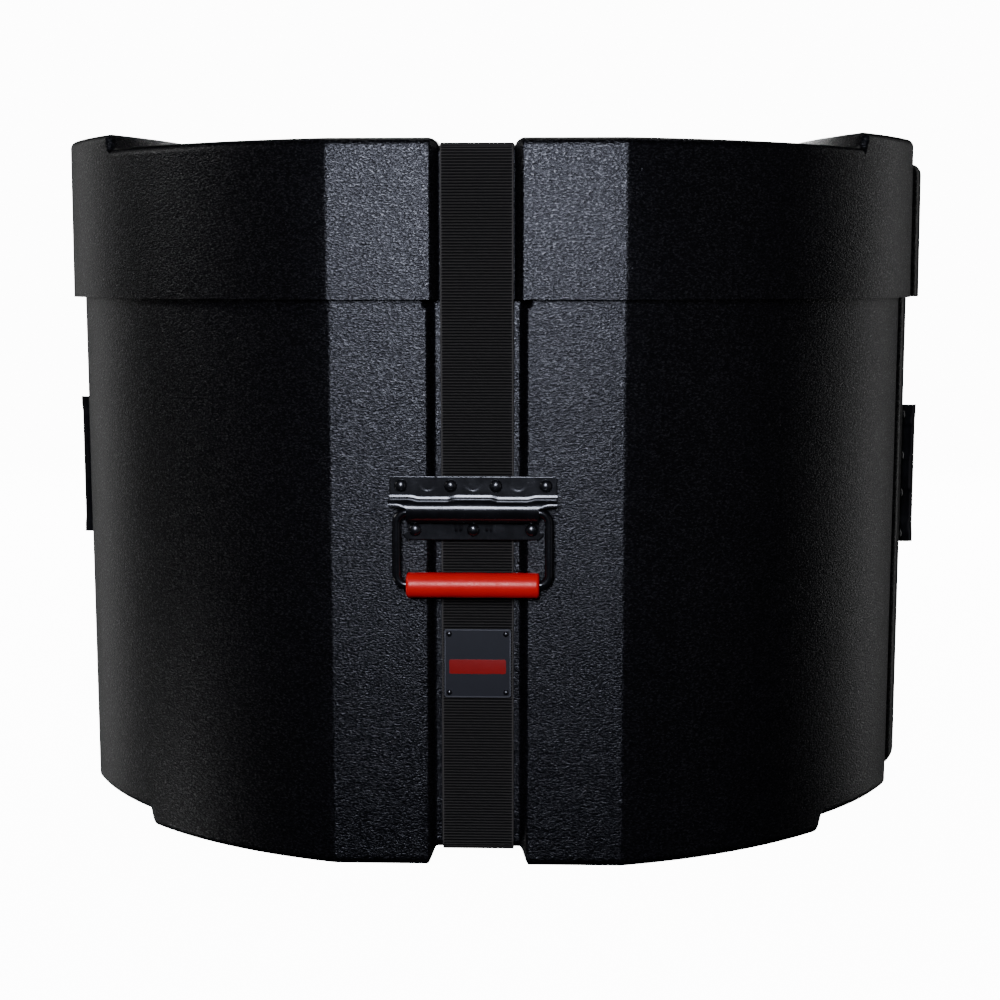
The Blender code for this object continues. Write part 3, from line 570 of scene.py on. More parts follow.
PLASTIC = pebbled_polyethylene()
base_rows = [BASE_TOP, SEAM + 0.004, SEAM, SEAM - 0.002, SEAM - 0.004, SEAM - NECK_RAMP]
base_rows += spread(SEAM - NECK_RAMP - 0.01, 0.040, 0.035) + [0.040, 0.034, 0.029, 0.026]
base = moulding(
    "base_moulding", base_radius, base_rows, base_end, base_drop,
    FOOT_BAND, (PANEL_HALF, FOOT_HEIGHT, BASE_PANEL_END_ROUND), -1,
)
base.data.materials.append(PLASTIC)
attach(base, "base")
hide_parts("base_shell")

# Lid shell
# The upper moulding, which slips over the base's neck. Its strap channel is deeper than the base's and
# widens into a pocket for the buckle. A raised pad on each side of the top keeps the next case from sliding.

LID_CLEARANCE = 0.0045
LID_RADIUS = BASE_RADIUS + LID_CLEARANCE + WALL
LIP_HEIGHT = 0.512
PAD_HEIGHT = 0.0114
PAD_BAND = 0.229
LID_CHANNEL = Channel(0.0325, 0.0257, 0.0095)
TOP_CHANNEL = Channel(0.0328, 0.0258, 0.005)
POCKET_FLOOR_HALF = 0.0315
POCKET_FLARE = 0.004
POCKET_RAMP = 0.010
POCKET_ROOM = 0.0015
POCKET_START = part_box("buckle_socket")[0][1] - POCKET_ROOM
POCKET_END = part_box("buckle_plug")[1][1] + POCKET_ROOM
SKIRT_ROUND = 0.0008
LAST_LID_ROW = 0.497
LID_PANEL_HALF = PANEL_HALF + LID_CLEARANCE + WALL
LID_PANEL_END = LIP_HEIGHT - EDGE_ROUND / 2
LID_PANEL_END_ROUND = 0.009


def lid_end(x, y):
    pad = PAD_HEIGHT * smooth((abs(x) - band_side(PAD_BAND, y)) / BAND_SLOPE)
    inside = min(y - POCKET_START, POCKET_END - y)
    pocket = smooth((inside + POCKET_RAMP) / POCKET_RAMP)
    face_half = lerp(TOP_CHANNEL.face_half, POCKET_FLOOR_HALF + POCKET_FLARE, pocket)
    floor_half = lerp(TOP_CHANNEL.floor_half, POCKET_FLOOR_HALF, pocket)
    return LIP_HEIGHT + pad - quarter_drop(abs(x) - floor_half, face_half - floor_half, TOP_CHANNEL.depth)


lid_rows = [SEAM, SEAM + SKIRT_ROUND / 2, SEAM + SKIRT_ROUND, SEAM + 0.005]
lid_rows += spread(SEAM + 0.03, LAST_LID_ROW, 0.03) + [LAST_LID_ROW]
lid = moulding(
    "lid_moulding", lambda z: LID_RADIUS, lid_rows, lid_end, lambda x, z: channel_drop(x, *LID_CHANNEL),
    PAD_BAND, (LID_PANEL_HALF, LID_PANEL_END, LID_PANEL_END_ROUND), 1,
)
lid.data.materials.append(PLASTIC)
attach(lid, "lid")
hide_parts("lid_shell")

# Foam linings
# A disc of closed-cell foam lies in the base and another is glued under the lid, both cut to the plan of
# the case.

FOAM_ROUND = 0.003
FOAM_STEPS = 32


def lofted(name, rings, degrees=40, place=None, closed=False):
    """An object with faces between rings of points, closed to a loop or else with both its ends closed."""
    bm = bmesh.new()
    rows = loft(bm, rings, closed_rows=closed)
    if not closed:
        bm.faces.new(rows[0])
        bm.faces.new(rows[-1])
    return finished_mesh(name, bm, degrees, place)


def foam_disc(name, node, body):
    (_, front, low), (_, _, high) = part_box(node)
    cut_back = BASE_RADIUS * math.cos(FLAT_HALF_ANGLE) + front
    rounding = [(FOAM_ROUND * (1 - x), FOAM_ROUND * (1 - y)) for x, y in quarter_turn(5)]
    levels = [(low + rise, inset) for rise, inset in rounding]
    levels += [(high - rise, inset) for rise, inset in reversed(rounding)]
    rings = []
    for z, inset in levels:
        quarter = [arc_place(BASE_RADIUS, cut_back + inset, i / FOAM_STEPS) for i in range(FOAM_STEPS + 1)]
        half = quarter + [(-x, y) for x, y in reversed(quarter)]
        rings.append([(x, y, z) for x, y in half + [(-x, -y) for x, y in half]])
    disc = lofted(name, rings)
    disc.data.materials.append(FOAM)
    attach(disc, body)
    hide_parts(node)


def closed_cell_foam():
    """Charcoal foam with open cut cells on its skin."""
    finish = Finish("foam_charcoal", (0.020, 0.020, 0.021), 0.95)
    cut_cells = finish.cells(0.0012)
    shade = finish.noise(0.02, 3.0)
    finish.set(
        Base_Color=finish.mix(shade, (0.014, 0.014, 0.015), (0.030, 0.030, 0.031)),
        Normal=finish.bump(cut_cells, 0.0004),
    )
    return finish.material


FOAM = closed_cell_foam()
foam_disc("base_foam", "base_foam_pad", "base")
foam_disc("lid_foam", "lid_foam_pad", "lid")

# Strap
# Two-inch polypropylene webbing with ribs across it, in one length round the case: from the buckle's socket
# over the lid's front edge, down the front, under the base, up the back and over the lid to the plug. Its
# ends are turned back.

STRAP_WIDTH = 0.0508
STRAP_THICK = 0.002
CHANNEL_BEND = 0.008
GAP = 0.0003
RIB_PITCH = 0.00205
RIB_HEIGHT = 0.0008
RIB_ROWS = 5
STRAP_ROUND = 0.0009
SELVEDGE = 0.0016
SELVEDGE_SLOPE = 0.0012
STRAP_LEAVES = 0.287
STRAP_BAR = 0.004
TAIL_SLOPE = 0.010
TAIL_LENGTH = 0.035
BUCKLE_MOUTH_Y = -0.010
SOCKET_LENGTH = 0.062
PLUG_LENGTH = 0.026
BEND_RADIUS = CHANNEL_BEND + GAP + STRAP_THICK / 2
LID_STRAP_DISTANCE = LID_RADIUS * math.cos(FLAT_HALF_ANGLE) - LID_CHANNEL.depth + GAP + STRAP_THICK / 2
OVER_STRAP = LIP_HEIGHT - TOP_CHANNEL.depth + GAP + STRAP_THICK / 2
UNDER_STRAP = FOOT_HEIGHT - GAP - STRAP_THICK / 2
STRAP_RISE = SEAM - STRAP_THICK - STRAP_LEAVES


def arc(centre, radius, start, end, steps=12):
    """Points of a circular arc, in degrees."""
    turn = [math.radians(lerp(start, end, i / steps)) for i in range(steps + 1)]
    return [(centre[0] + radius * math.cos(a), centre[1] + radius * math.sin(a)) for a in turn]


def strap_distance(z):
    return base_radius(z) * math.cos(FLAT_HALF_ANGLE) - BASE_CHANNEL.depth + GAP + STRAP_THICK / 2


def lid_run(bar):
    """From the front lip to the bar, whose near face is at bar, round it and back on the strap."""
    turn = (STRAP_THICK + STRAP_BAR) / 2 + GAP
    points = arc((BEND_RADIUS - LID_STRAP_DISTANCE, OVER_STRAP - BEND_RADIUS), BEND_RADIUS, 180, 90)
    points += arc((bar, OVER_STRAP + turn), turn, -90, 90)
    rest = OVER_STRAP + STRAP_THICK + GAP
    over = bar - STRAP_BAR - STRAP_THICK
    top = OVER_STRAP + 2 * turn
    points += [(over - TAIL_SLOPE * t, lerp(top, rest, smooth(t))) for t in (0, 0.2, 0.4, 0.6, 0.8, 1)]
    return points + [(over - TAIL_LENGTH, rest)]


def strap_route():
    """(y, z) points from the tail at the socket, round the case, to the tail at the plug."""
    front = lid_run(BUCKLE_MOUTH_Y - SOCKET_LENGTH + STRAP_BAR)
    back = [(-y, z) for y, z in lid_run(STRAP_BAR - PLUG_LENGTH - BUCKLE_MOUTH_Y)]
    foot = UNDER_STRAP + BEND_RADIUS
    down = []
    for z in (SEAM - STRAP_THICK, SEAM - 0.008, SEAM - 0.03, SEAM - 0.05):
        share = (SEAM - STRAP_THICK - z) / STRAP_RISE
        down.append((-lerp(LID_STRAP_DISTANCE, strap_distance(STRAP_LEAVES), share), z))
    down.append((-strap_distance(STRAP_LEAVES), STRAP_LEAVES))
    corner = arc((BEND_RADIUS - strap_distance(foot), foot), BEND_RADIUS, 180, 270)
    half = down + corner
    return list(reversed(front)) + half + [(-y, z) for y, z in reversed(half)] + back


def even_route(points, step):
    """The same route with points a step apart."""
    spans = [math.dist(a, b) for a, b in zip(points, points[1:])]
    total = sum(spans)
    count = round(total / step)
    out, index, passed = [], 0, 0.0
    for i in range(count + 1):
        goal = total * i / count
        while index < len(spans) - 1 and passed + spans[index] < goal:
            passed += spans[index]
            index += 1
        t = (goal - passed) / spans[index]
        out.append(tuple(lerp(a, b, t) for a, b in zip(points[index], points[index + 1])))
    return out


def ribbed_webbing(name, route):
    """Webbing square to its route, with ribs across both faces and plain rounded edges."""
    half = STRAP_WIDTH / 2
    section = [(half - STRAP_ROUND * (1 - x), y, 0.0) for x, y in quarter_turn(4)]
    section += [(half - SELVEDGE, 1.0, 1.0), (half - SELVEDGE - SELVEDGE_SLOPE, 1.0, 1.0), (0.0, 1.0, 1.0)]
    section += [(-x, side, rib) for x, side, rib in reversed(section[:-1])]
    bottom = [(x, -side, rib) for x, side, rib in reversed(section)]
    section += bottom[1:-1]
    rings, grooves = [], []
    for i, here in enumerate(route):
        before, after = Vector(route[max(i - 1, 0)]), Vector(route[min(i + 1, len(route) - 1)])
        along = (after - before).normalized()
        out = Vector((along.y, -along.x))
        swell = RIB_HEIGHT * (math.cos(2 * math.pi * i / RIB_ROWS) - 1) / 2
        ring = []
        for x, side, rib in section:
            point = Vector(here) + out * side * (STRAP_THICK / 2 + rib * swell)
            ring.append((x, point.x, point.y))
            grooves.append(-rib * swell / RIB_HEIGHT)
        rings.append(ring)
    webbing = lofted(name, rings, 60)
    # groove says how deep each point lies between the ribs; the webbing's finish paints shade into the
    # grooves from it.
    webbing.data.attributes.new("groove", "FLOAT", "POINT").data.foreach_set("value", grooves)
    return webbing


def ribbed_polypropylene():
    """Black webbing: fine yarns along it, and painted shade that darkens the grooves between the ribs, so
    each rib's top is left slightly lighter.
    """
    finish = Finish("webbing_black", (0.012, 0.010, 0.009), 0.62, Specular_IOR_Level=0.10)
    groove = finish.node("ShaderNodeAttribute", {"attribute_name": "groove"}, out=2)
    fibre = finish.noise(0.0006, 3.0, 0.7)
    yarn_tone = finish.mix(fibre, (0.052, 0.047, 0.041), (0.094, 0.086, 0.075))
    # Painted shade: the deeper a point lies in a groove, the nearer its colour is drawn to black.
    shadow = {0: groove ** 0.4, 6: yarn_tone, 7: (0.0006, 0.0006, 0.0006, 1)}
    finish.set(
        Base_Color=finish.node("ShaderNodeMix", {"data_type": "RGBA"}, shadow, out=2),
        Roughness=0.55 + fibre * 0.15 + groove * 0.25,
        Normal=finish.bump(fibre, 0.00012),
    )
    return finish.material


route = even_route(strap_route(), RIB_PITCH / RIB_ROWS)
strap = ribbed_webbing("strap_webbing", route)
strap.data.materials.append(ribbed_polypropylene())
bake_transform(strap)
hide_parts("strap_base", "strap_front_riser", "strap_back_riser", "strap_lid_front", "strap_lid_back")

# Handles
# Three alike. A pressed steel bracket, painted black, is riveted to the wall with seven domed rivets. A
# wire bail swings in its rolled barrel, with a red grip moulded on it and a torsion spring that holds it
# down.

SHEET = 0.0016
FLANGE_TOP = 0.0243
FLANGE_BOTTOM = 0.0205
TOP_FLANGE_HALF = 0.0585
LOW_FLANGE_HALF = 0.049
TOP_CORNER = 0.0035
LOW_CORNER = 0.0045
BARREL_RADIUS = 0.010
BARREL_OFFSET = 0.002
BARREL_STAND = 0.006
BARREL_HALF = 0.046
BARREL_END = 0.05
BARREL_CAP_HIGH = 0.0084
BARREL_CAP_LOW = 0.0064
CAP_SHARPNESS = 3
LOW_CAP_ZONE = (0.0118, 0.0375)
LOW_CAP_EASE = (0.006, 0.007)
BARREL_FOOT = 0.002
SHEET_BEND = 0.0008
SHEET_EDGE = 0.0005
SLOPE_HEIGHT = 0.0011
SLOPE_RISE = 0.00024
LUG_TOP = 0.0042
LUG_LOW = -0.01525
LIP_CURL = 0.30
LIP_CURL_INSET = 0.001
LIP_CURL_WIDTH = 0.0085
SHEET_MIDDLE = 0.0455
SHEET_STEP = 0.0008
TONGUE_PLACES = (-0.0317, 0.0, 0.0312)
TONGUE_ROUND = 0.0061
TONGUE_CENTRE = 0.0197
TONGUE_DEPTH = 0.00014
TONGUE_EDGE = 0.0012
FLANGE_RIBS = (-0.0120, -0.0088, 0.0095, 0.0124)
FLANGE_RIB_ZONE = (0.0078, 0.0138)
FLANGE_RIB_STEP = 0.0003
FLANGE_RIB_END = -0.0142
FLANGE_RIB_HEIGHT = 0.0006
FLANGE_RIB_HALF = 0.0010
FLANGE_RIB_EDGE = 0.0007
FLANGE_RIB_FADE = 0.001
ROD_RADIUS = 0.0032
BAIL_HALF = 0.053
BAIL_DROP = 0.051
BAIL_CORNER = 0.0075
GRIP_RADIUS = 0.00885
GRIP_HALF = 0.04625
GRIP_ROUND = 0.0022
GRIP_SWELL = 0.00008
GRIP_SWELL_PITCH = 0.031
GRIP_SWELL_END = 0.040
GRIP_SWELL_EASE = 0.010
GRIP_BORE = ROD_RADIUS + 0.00004
GRIP_STEPS = 60
GRIP_SIDES = 48
AXIS_STAND = GRIP_RADIUS + 0.0009
RIVET_RADIUS = 0.0045
RIVET_HEIGHT = 0.0032
RIVET_EDGE = 0.16
RIVET_NARROWS = 0.985
RIVET_SIDES = 28
RIVETS = [(u, 0.0176, SHEET + GAP) for u in (-0.0506, 0.0506, -0.0158, 0.0158)]
RIVETS += [(u, -0.0132, SHEET + GAP) for u in (-0.0406, 0, 0.0406)]
SPRING_WIRE = 0.0005
SPRING_TURNS = 5
SPRING_PITCH = 0.0018
SPRING_STEPS = 28
SPRING_RADIUS = ROD_RADIUS + 0.00015 + SPRING_WIRE / 2 + GAP
FRONT_HANDLE = (-0.0026, 0.2555)
LEFT_HANDLE_HEIGHT = 0.2575
RIGHT_HANDLE_HEIGHT = 0.2520
FRONT_LEAN = math.atan(BASE_DRAFT * math.cos(FLAT_HALF_ANGLE) / SEAM)
SIDE_LEAN = math.atan(BASE_DRAFT * math.cos(SIDE_FLAT_HALF_ANGLE) / SEAM)


def circle(steps):
    """Points of a unit circle, without its end."""
    return unit_points(2 * math.pi * i / steps for i in range(steps))


def bracket_edge(v):
    """Half the bracket's width at a height on it: two flanges with rounded outer corners, cut back between
    them for the bail."""
    if v > LUG_TOP:
        return TOP_FLANGE_HALF - quarter_drop(FLANGE_TOP - v, TOP_CORNER)
    if v > LUG_LOW:
        return BARREL_HALF
    return LOW_FLANGE_HALF - quarter_drop(v + FLANGE_BOTTOM, LOW_CORNER)


def bracket_places():
    """(kind, share of the way) stations down the sheet: kind names the stretch."""
    edge = [0.56, 0.6, 0.65, 0.7, 0.75, 0.8, 0.84, 0.88, 0.91, 0.94, 0.965, 0.985, 1]
    stretches = (
        ("top", [0, 0.008, 0.02, 0.04, 0.07, 0.11, 0.16, 0.21, 0.26] + spread(0.3, 1, 0.035)),
        ("slope", [0, 0.12, 0.3, 0.5, 0.7, 0.88]),
        ("in", spread(0, 1, 0.2)),
        ("round", spread(0, 1, 0.045)),
        ("out", spread(0, 1, 0.25)),
        ("low", spread(0, 0.55, 0.055) + edge),
    )
    return [(kind, t) for kind, shares in stretches for t in shares]


def capped(height, cap):
    """A height held softly under a cap."""
    return height / (1 + (height / cap) ** CAP_SHARPNESS) ** (1 / CAP_SHARPNESS)


def bracket_point(kind, t, u):
    """Height and distance from the wall of the sheet's outer face, at u along the hinge."""
    lowered = smooth((abs(u) - LOW_CAP_ZONE[0]) / LOW_CAP_EASE[0])
    lowered *= 1 - smooth((abs(u) - LOW_CAP_ZONE[1]) / LOW_CAP_EASE[1])
    cap = lerp(BARREL_CAP_HIGH, BARREL_CAP_LOW, lowered)
    upper = BARREL_OFFSET + capped(BARREL_RADIUS, cap)
    lower = BARREL_OFFSET - BARREL_RADIUS
    if kind == "top":
        return lerp(FLANGE_TOP, upper + SHEET_BEND + SLOPE_HEIGHT, t), SHEET
    if kind == "slope":
        return upper + SHEET_BEND + SLOPE_HEIGHT * (1 - t), SHEET + SLOPE_RISE * t
    if kind == "in":
        turn = math.pi / 2 * t
        rise = SLOPE_RISE + (SHEET_BEND - SLOPE_RISE) * (1 - math.cos(turn))
        return upper + SHEET_BEND * (1 - math.sin(turn)), SHEET + rise
    if kind == "out":
        turn = math.pi / 2 * t
        return lower - SHEET_BEND * (1 - math.cos(turn)), SHEET + SHEET_BEND * (1 - math.sin(turn))
    if kind == "low":
        return lerp(lower - SHEET_BEND, -FLANGE_BOTTOM, t), SHEET
    turn = math.pi * t
    across = math.cos(turn)
    curl = smooth((abs(u) - BARREL_HALF + LIP_CURL_INSET) / LIP_CURL_WIDTH)
    ahead = min(math.pi, turn * (1 + LIP_CURL * curl))
    w = BARREL_STAND + BARREL_RADIUS * math.sin(ahead)
    if w < BARREL_STAND + BARREL_FOOT:
        w = lerp(SHEET + SHEET_BEND, w, smooth((w - BARREL_STAND) / BARREL_FOOT))
    height = BARREL_RADIUS * across
    return BARREL_OFFSET + (capped(height, cap) if across > 0 else height), w


def bracket(name, place):
    start, end = FLANGE_RIB_ZONE
    inner = spread(-SHEET_MIDDLE, -end, SHEET_STEP) + spread(-end, -start, FLANGE_RIB_STEP)
    inner += spread(-start, start, SHEET_STEP) + spread(start, end, FLANGE_RIB_STEP)
    inner += spread(end, SHEET_MIDDLE, SHEET_STEP) + [SHEET_MIDDLE]
    outer = [0.15, 0.3, 0.45, 0.6, 0.72, 0.82, 0.9, 0.95, 0.975, 0.99, 1]
    bm = bmesh.new()
    rings = []
    for kind, t in bracket_places():
        ring = []
        edge = bracket_edge(bracket_point(kind, t, BARREL_END)[0])
        ends = [lerp(SHEET_MIDDLE, edge, share) for share in outer]
        for u in [-x for x in reversed(ends)] + inner + ends:
            v, w = bracket_point(kind, t, u)
            if kind in ("top", "low"):
                inside = min(FLANGE_TOP - v, v + FLANGE_BOTTOM, edge - abs(u))
                w -= quarter_drop(inside, SHEET_EDGE)
            if kind == "top":
                near = min(math.hypot(u - centre, min(0.0, v - TONGUE_CENTRE)) for centre in TONGUE_PLACES)
                w -= TONGUE_DEPTH * smooth((TONGUE_ROUND - near) / TONGUE_EDGE)
            if FLANGE_RIB_END < v < BARREL_OFFSET - BARREL_RADIUS:
                near = min(abs(u - rib) for rib in FLANGE_RIBS)
                rib = smooth((FLANGE_RIB_HALF - near) / FLANGE_RIB_EDGE)
                w += FLANGE_RIB_HEIGHT * rib * smooth((v - FLANGE_RIB_END) / FLANGE_RIB_FADE)
            ring.append((u, v, w))
        rings.append(ring)
    loft(bm, rings, closed_columns=False)
    obj = walled_object(name, bm, 1, SHEET)
    for vert in obj.data.vertices:
        vert.co.z = max(vert.co.z, 0.0)
    obj.data.transform(place)
    finish_shading(obj, 50)
    return obj


def domes(name, places, radius, height, place):
    """Rivet heads: shallow domes with a narrow upright edge; places are (u, v, w) of their seats."""
    bm = bmesh.new()
    edge = height * RIVET_EDGE
    narrowed = radius * RIVET_NARROWS
    profile = [(radius, 0), (radius, edge * 0.6), (narrowed, edge)]
    profile += [(narrowed * x, edge + (height - edge) * y) for x, y in quarter_turn(8)[1:-1]]
    around = circle(RIVET_SIDES)
    for u, v, w in places:
        rings = [[(u + reach * x, v + reach * y, w + rise) for x, y in around] for reach, rise in profile]
        rows = loft(bm, rings)
        bm.faces.new(rows[0])
        tip = bm.verts.new((u, v, w + height))
        last = rows[-1]
        for i in range(len(last)):
            bm.faces.new((last[i], last[(i + 1) % len(last)], tip))
    return finished_mesh(name, bm, 35, place)


def wire(name, path, radius, closed, place, sides=20):
    """Round wire along a path of (u, v, w) points."""
    rings = []
    count = len(path)
    side = None
    for i in range(count):
        before = Vector(path[i - 1] if closed or i else path[0])
        after = Vector(path[(i + 1) % count] if closed or i < count - 1 else path[-1])
        along = (after - before).normalized()
        if side is None:
            side = along.orthogonal().normalized()
        side = (side - along * side.dot(along)).normalized()
        other = along.cross(side)
        rings.append([Vector(path[i]) + (side * x + other * y) * radius for x, y in circle(sides)])
    return lofted(name, rings, 50, place, closed)


def bail_path():
    """Closed centre line of the bail round the hinge's rod, the legs and the grip's rod."""
    inner, high, low = BAIL_HALF - BAIL_CORNER, -BAIL_CORNER, BAIL_CORNER - BAIL_DROP
    corners = ((inner, high, 90, 0), (inner, low, 0, -90), (-inner, low, -90, -180), (-inner, high, 180, 90))
    return [(u, v, 0) for x, y, start, end in corners for u, v in arc((x, y), BAIL_CORNER, start, end, 14)]


def grip(name, place):
    """A soft grip turned round the bail's lower rod, with rounded ends and three shallow swells."""
    rounding = [(GRIP_ROUND * (1 - y), GRIP_ROUND * (1 - x)) for x, y in quarter_turn(6)]
    ends = [(GRIP_RADIUS - inset, GRIP_HALF - back) for inset, back in rounding]
    body = []
    for i in range(1, GRIP_STEPS):
        u = (GRIP_HALF - GRIP_ROUND) * (1 - 2 * i / GRIP_STEPS)
        swell = GRIP_SWELL * math.cos(u / GRIP_SWELL_PITCH * 2 * math.pi)
        fade = smooth((GRIP_SWELL_END - abs(u)) / GRIP_SWELL_EASE)
        body.append((GRIP_RADIUS - GRIP_SWELL + swell * fade, u))
    profile = [(GRIP_BORE, GRIP_HALF)] + ends + body
    profile += [(radius, -u) for radius, u in reversed(ends)] + [(GRIP_BORE, -GRIP_HALF)]
    around = circle(GRIP_SIDES)
    rings = [[(u, radius * x - BAIL_DROP, radius * y) for x, y in around] for radius, u in profile]
    return lofted(name, rings, 50, place, True)


def spring_path():
    count = SPRING_TURNS * SPRING_STEPS
    length = SPRING_PITCH * SPRING_TURNS
    turn = [(2 * math.pi * i / SPRING_STEPS, length * (i / count - 0.5)) for i in range(count + 1)]
    return [(u, SPRING_RADIUS * math.cos(a), SPRING_RADIUS * math.sin(a)) for a, u in turn]


def painted_steel(name, roughness, grain, shade, shine=0.6):
    """Black paint on pressed steel: a faint orange peel, duller rubbed patches and light scratches."""
    finish = Finish(name, (shade, shade, shade * 1.1), roughness, Specular_IOR_Level=shine, Coat_Weight=0.15)
    peel = finish.noise(0.0011, 2.0, 0.5)
    rubbed = finish.ramp(finish.noise(0.012, 4.0, 0.65), (0.42, 0.0), (0.68, 1.0))
    scratch = finish.ramp(finish.noise(0.0045, 6.0, 0.8, 1.5), (0.56, 0.0), (0.63, 1.0))
    finish.set(
        Base_Color=finish.mix(rubbed, (shade, shade, shade * 1.15), (shade * 1.8, shade * 1.8, shade * 2.1)),
        Roughness=roughness + rubbed * 0.06 + scratch * 0.07,
        Coat_Roughness=0.42,
        Normal=finish.bump(peel, grain),
    )
    return finish.material


def red_grip_vinyl():
    """Glossy red vinyl with a faint mottle and finger marks."""
    finish = Finish("vinyl_red", (0.9, 0.003, 0.004), 0.36, Specular_IOR_Level=0.95)
    mottle = finish.noise(0.009, 3.0, 0.6)
    marks = finish.ramp(finish.noise(0.004, 5.0, 0.7), (0.45, 0.0), (0.75, 1.0))
    finish.set(
        Base_Color=finish.mix(mottle, (0.84, 0.002, 0.004), (0.98, 0.003, 0.006)),
        Roughness=0.35 + marks * 0.12,
        Specular_Tint=(1.0, 0.46, 0.40, 1),
        Normal=finish.bump(finish.noise(0.0016, 2.0), 0.00004),
    )
    return finish.material


def spring_wire():
    finish = Finish("steel_spring", (0.42, 0.42, 0.43), 0.32, 1.0)
    drawn = finish.noise(0.0006, 3.0, 0.6)
    finish.set(Roughness=0.26 + drawn * 0.16, Normal=finish.bump(drawn, 0.00003))
    return finish.material


BRACKET_PAINT = painted_steel("steel_painted_black", 0.165, 0.00001, 0.0045)
BAIL_PAINT = painted_steel("steel_gloss_black", 0.14, 0.00002, 0.0035)
RIVET_PAINT = painted_steel("rivet_black", 0.22, 0.00001, 0.0045, 1.0)
GRIP_RED = red_grip_vinyl()
SPRING_STEEL = spring_wire()


def handle(side, seat):
    """One handle. seat is the frame on the wall under the hinge's axis: along the hinge, up to the wide
    flange, and out."""
    axis = seat @ Matrix.Translation((0, 0, AXIS_STAND))
    bail_body = side + "_bail"
    rivet_nodes = [f"{side}_handle_rivet_{number}" for number in range(1, 8)]
    plate = bracket(side + "_bracket", seat)
    heads = domes(side + "_rivets", RIVETS, RIVET_RADIUS, RIVET_HEIGHT, seat)
    coil = wire(side + "_spring", spring_path(), SPRING_WIRE / 2, False, axis, 8)
    bail = wire(side + "_bail_wire", bail_path(), ROD_RADIUS, True, axis)
    held = grip(side + "_grip", axis)
    pieces = (
        (plate, BRACKET_PAINT, "base", "painted_steel", [side + "_handle_bracket"]),
        (heads, RIVET_PAINT, "base", "painted_steel", rivet_nodes),
        (coil, SPRING_STEEL, "base", "spring_steel", [side + "_handle_spring"]),
        (bail, BAIL_PAINT, bail_body, "painted_steel", [side + "_handle_bail"]),
        (held, GRIP_RED, bail_body, "red_vinyl", [side + "_handle_grip"]),
    )
    for piece, finish, body, slot, nodes in pieces:
        piece.data.materials.append(finish)
        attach(piece, body)
        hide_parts(*nodes)


def wall_frame(origin, u, v, w):
    return Matrix.Translation(origin) @ Matrix((u, v, w)).transposed().to_4x4()


def wall_distance(z, half_angle):
    return base_radius(z) * math.cos(half_angle) + GAP


lean, level = math.sin(FRONT_LEAN), math.cos(FRONT_LEAN)
place = (FRONT_HANDLE[0], -wall_distance(FRONT_HANDLE[1], FLAT_HALF_ANGLE), FRONT_HANDLE[1])
handle("front", wall_frame(place, (1, 0, 0), (0, -lean, level), (0, -level, -lean)))
lean, level = math.sin(SIDE_LEAN), math.cos(SIDE_LEAN)
for side, way, height in (("right", 1, RIGHT_HANDLE_HEIGHT), ("left", -1, LEFT_HANDLE_HEIGHT)):
    place = (way * (wall_distance(height, SIDE_FLAT_HALF_ANGLE) + PANEL_RISE), 0, height)
    handle(side, wall_frame(place, (lean, 0, way * level), (0, -1, 0), (way * level, 0, -lean)))

# Nameplate
# A thin enamelled plate with a bright turned-up rim and one plain red bar, fixed over the strap by four
# small rivets.

PLATE_WIDTH = 0.047
PLATE_HEIGHT = 0.049
PLATE_THICK = 0.0012
PLATE_LOW = 0.122
PLATE_CORNER = 0.002
PLATE_RIM = 0.0009
PLATE_EDGE = 0.0002
PLATE_SUNK = 0.00025
PLATE_RIVET_INSET = 0.0035
PLATE_RIVET_RADIUS = 0.002
PLATE_RIVET_HEIGHT = 0.0012
BAR_WIDTH = 0.0400
BAR_HEIGHT = 0.0103
BAR_BELOW = 0.0024
BAR_CORNER = 0.0012


def plate_front(z, out):
    return -(strap_distance(z) + STRAP_THICK / 2 + GAP + out)


def rounded_plate(name, half_x, low, high, corner, levels):
    """A stack of rounded oblongs; levels are (inset, out) pairs from the back to the middle of the front."""
    rings = []
    for inset, out in levels:
        round_off = max(corner - inset, PLATE_EDGE)
        x, bottom, top = half_x - inset - round_off, low + inset + round_off, high - inset - round_off
        points = []
        for number, centre in enumerate(((x, top), (-x, top), (-x, bottom), (x, bottom))):
            points += arc(centre, round_off, 90 * number, 90 * number + 90, 8)
        rings.append([(px, plate_front(pz, out), pz) for px, pz in points])
    return lofted(name, rings, 30)


def plate_enamel(name, low, high, roughness):
    """Baked enamel: even colour with a faint haze and fine scratches."""
    finish = Finish(name, high, roughness, Coat_Weight=0.3)
    haze = finish.noise(0.006, 4.0, 0.6)
    scratch = finish.ramp(finish.noise(0.0012, 6.0, 0.8, 2.0), (0.55, 0.0), (0.62, 1.0))
    finish.set(Base_Color=finish.mix(haze, low, high), Roughness=roughness + scratch * 0.15)
    return finish.material


def plate_rim_metal():
    finish = Finish("plate_rim", (0.16, 0.16, 0.17), 0.35, 0.85)
    brushed = finish.noise(0.0009, 4.0, 0.7)
    finish.set(Roughness=0.30 + brushed * 0.2)
    return finish.material


PLATE_TOP = PLATE_LOW + PLATE_HEIGHT
PLATE_OUTLINE = (PLATE_WIDTH / 2, PLATE_LOW, PLATE_TOP, PLATE_CORNER)
sunk = PLATE_THICK - PLATE_SUNK
rim_levels = [(0, 0), (0, PLATE_THICK - PLATE_EDGE), (PLATE_EDGE, PLATE_THICK), (PLATE_RIM, PLATE_THICK)]
plate = rounded_plate("nameplate_rim", *PLATE_OUTLINE, rim_levels + [(PLATE_RIM + PLATE_EDGE, sunk)])
field_edge = PLATE_RIM + 0.0001
field_levels = [(field_edge, sunk - PLATE_SUNK), (field_edge, sunk + 0.3 * PLATE_SUNK)]
field = rounded_plate("nameplate_field", *PLATE_OUTLINE, field_levels)
bar_middle = (PLATE_LOW + PLATE_TOP) / 2 - BAR_BELOW
bar_low, bar_high = bar_middle - BAR_HEIGHT / 2, bar_middle + BAR_HEIGHT / 2
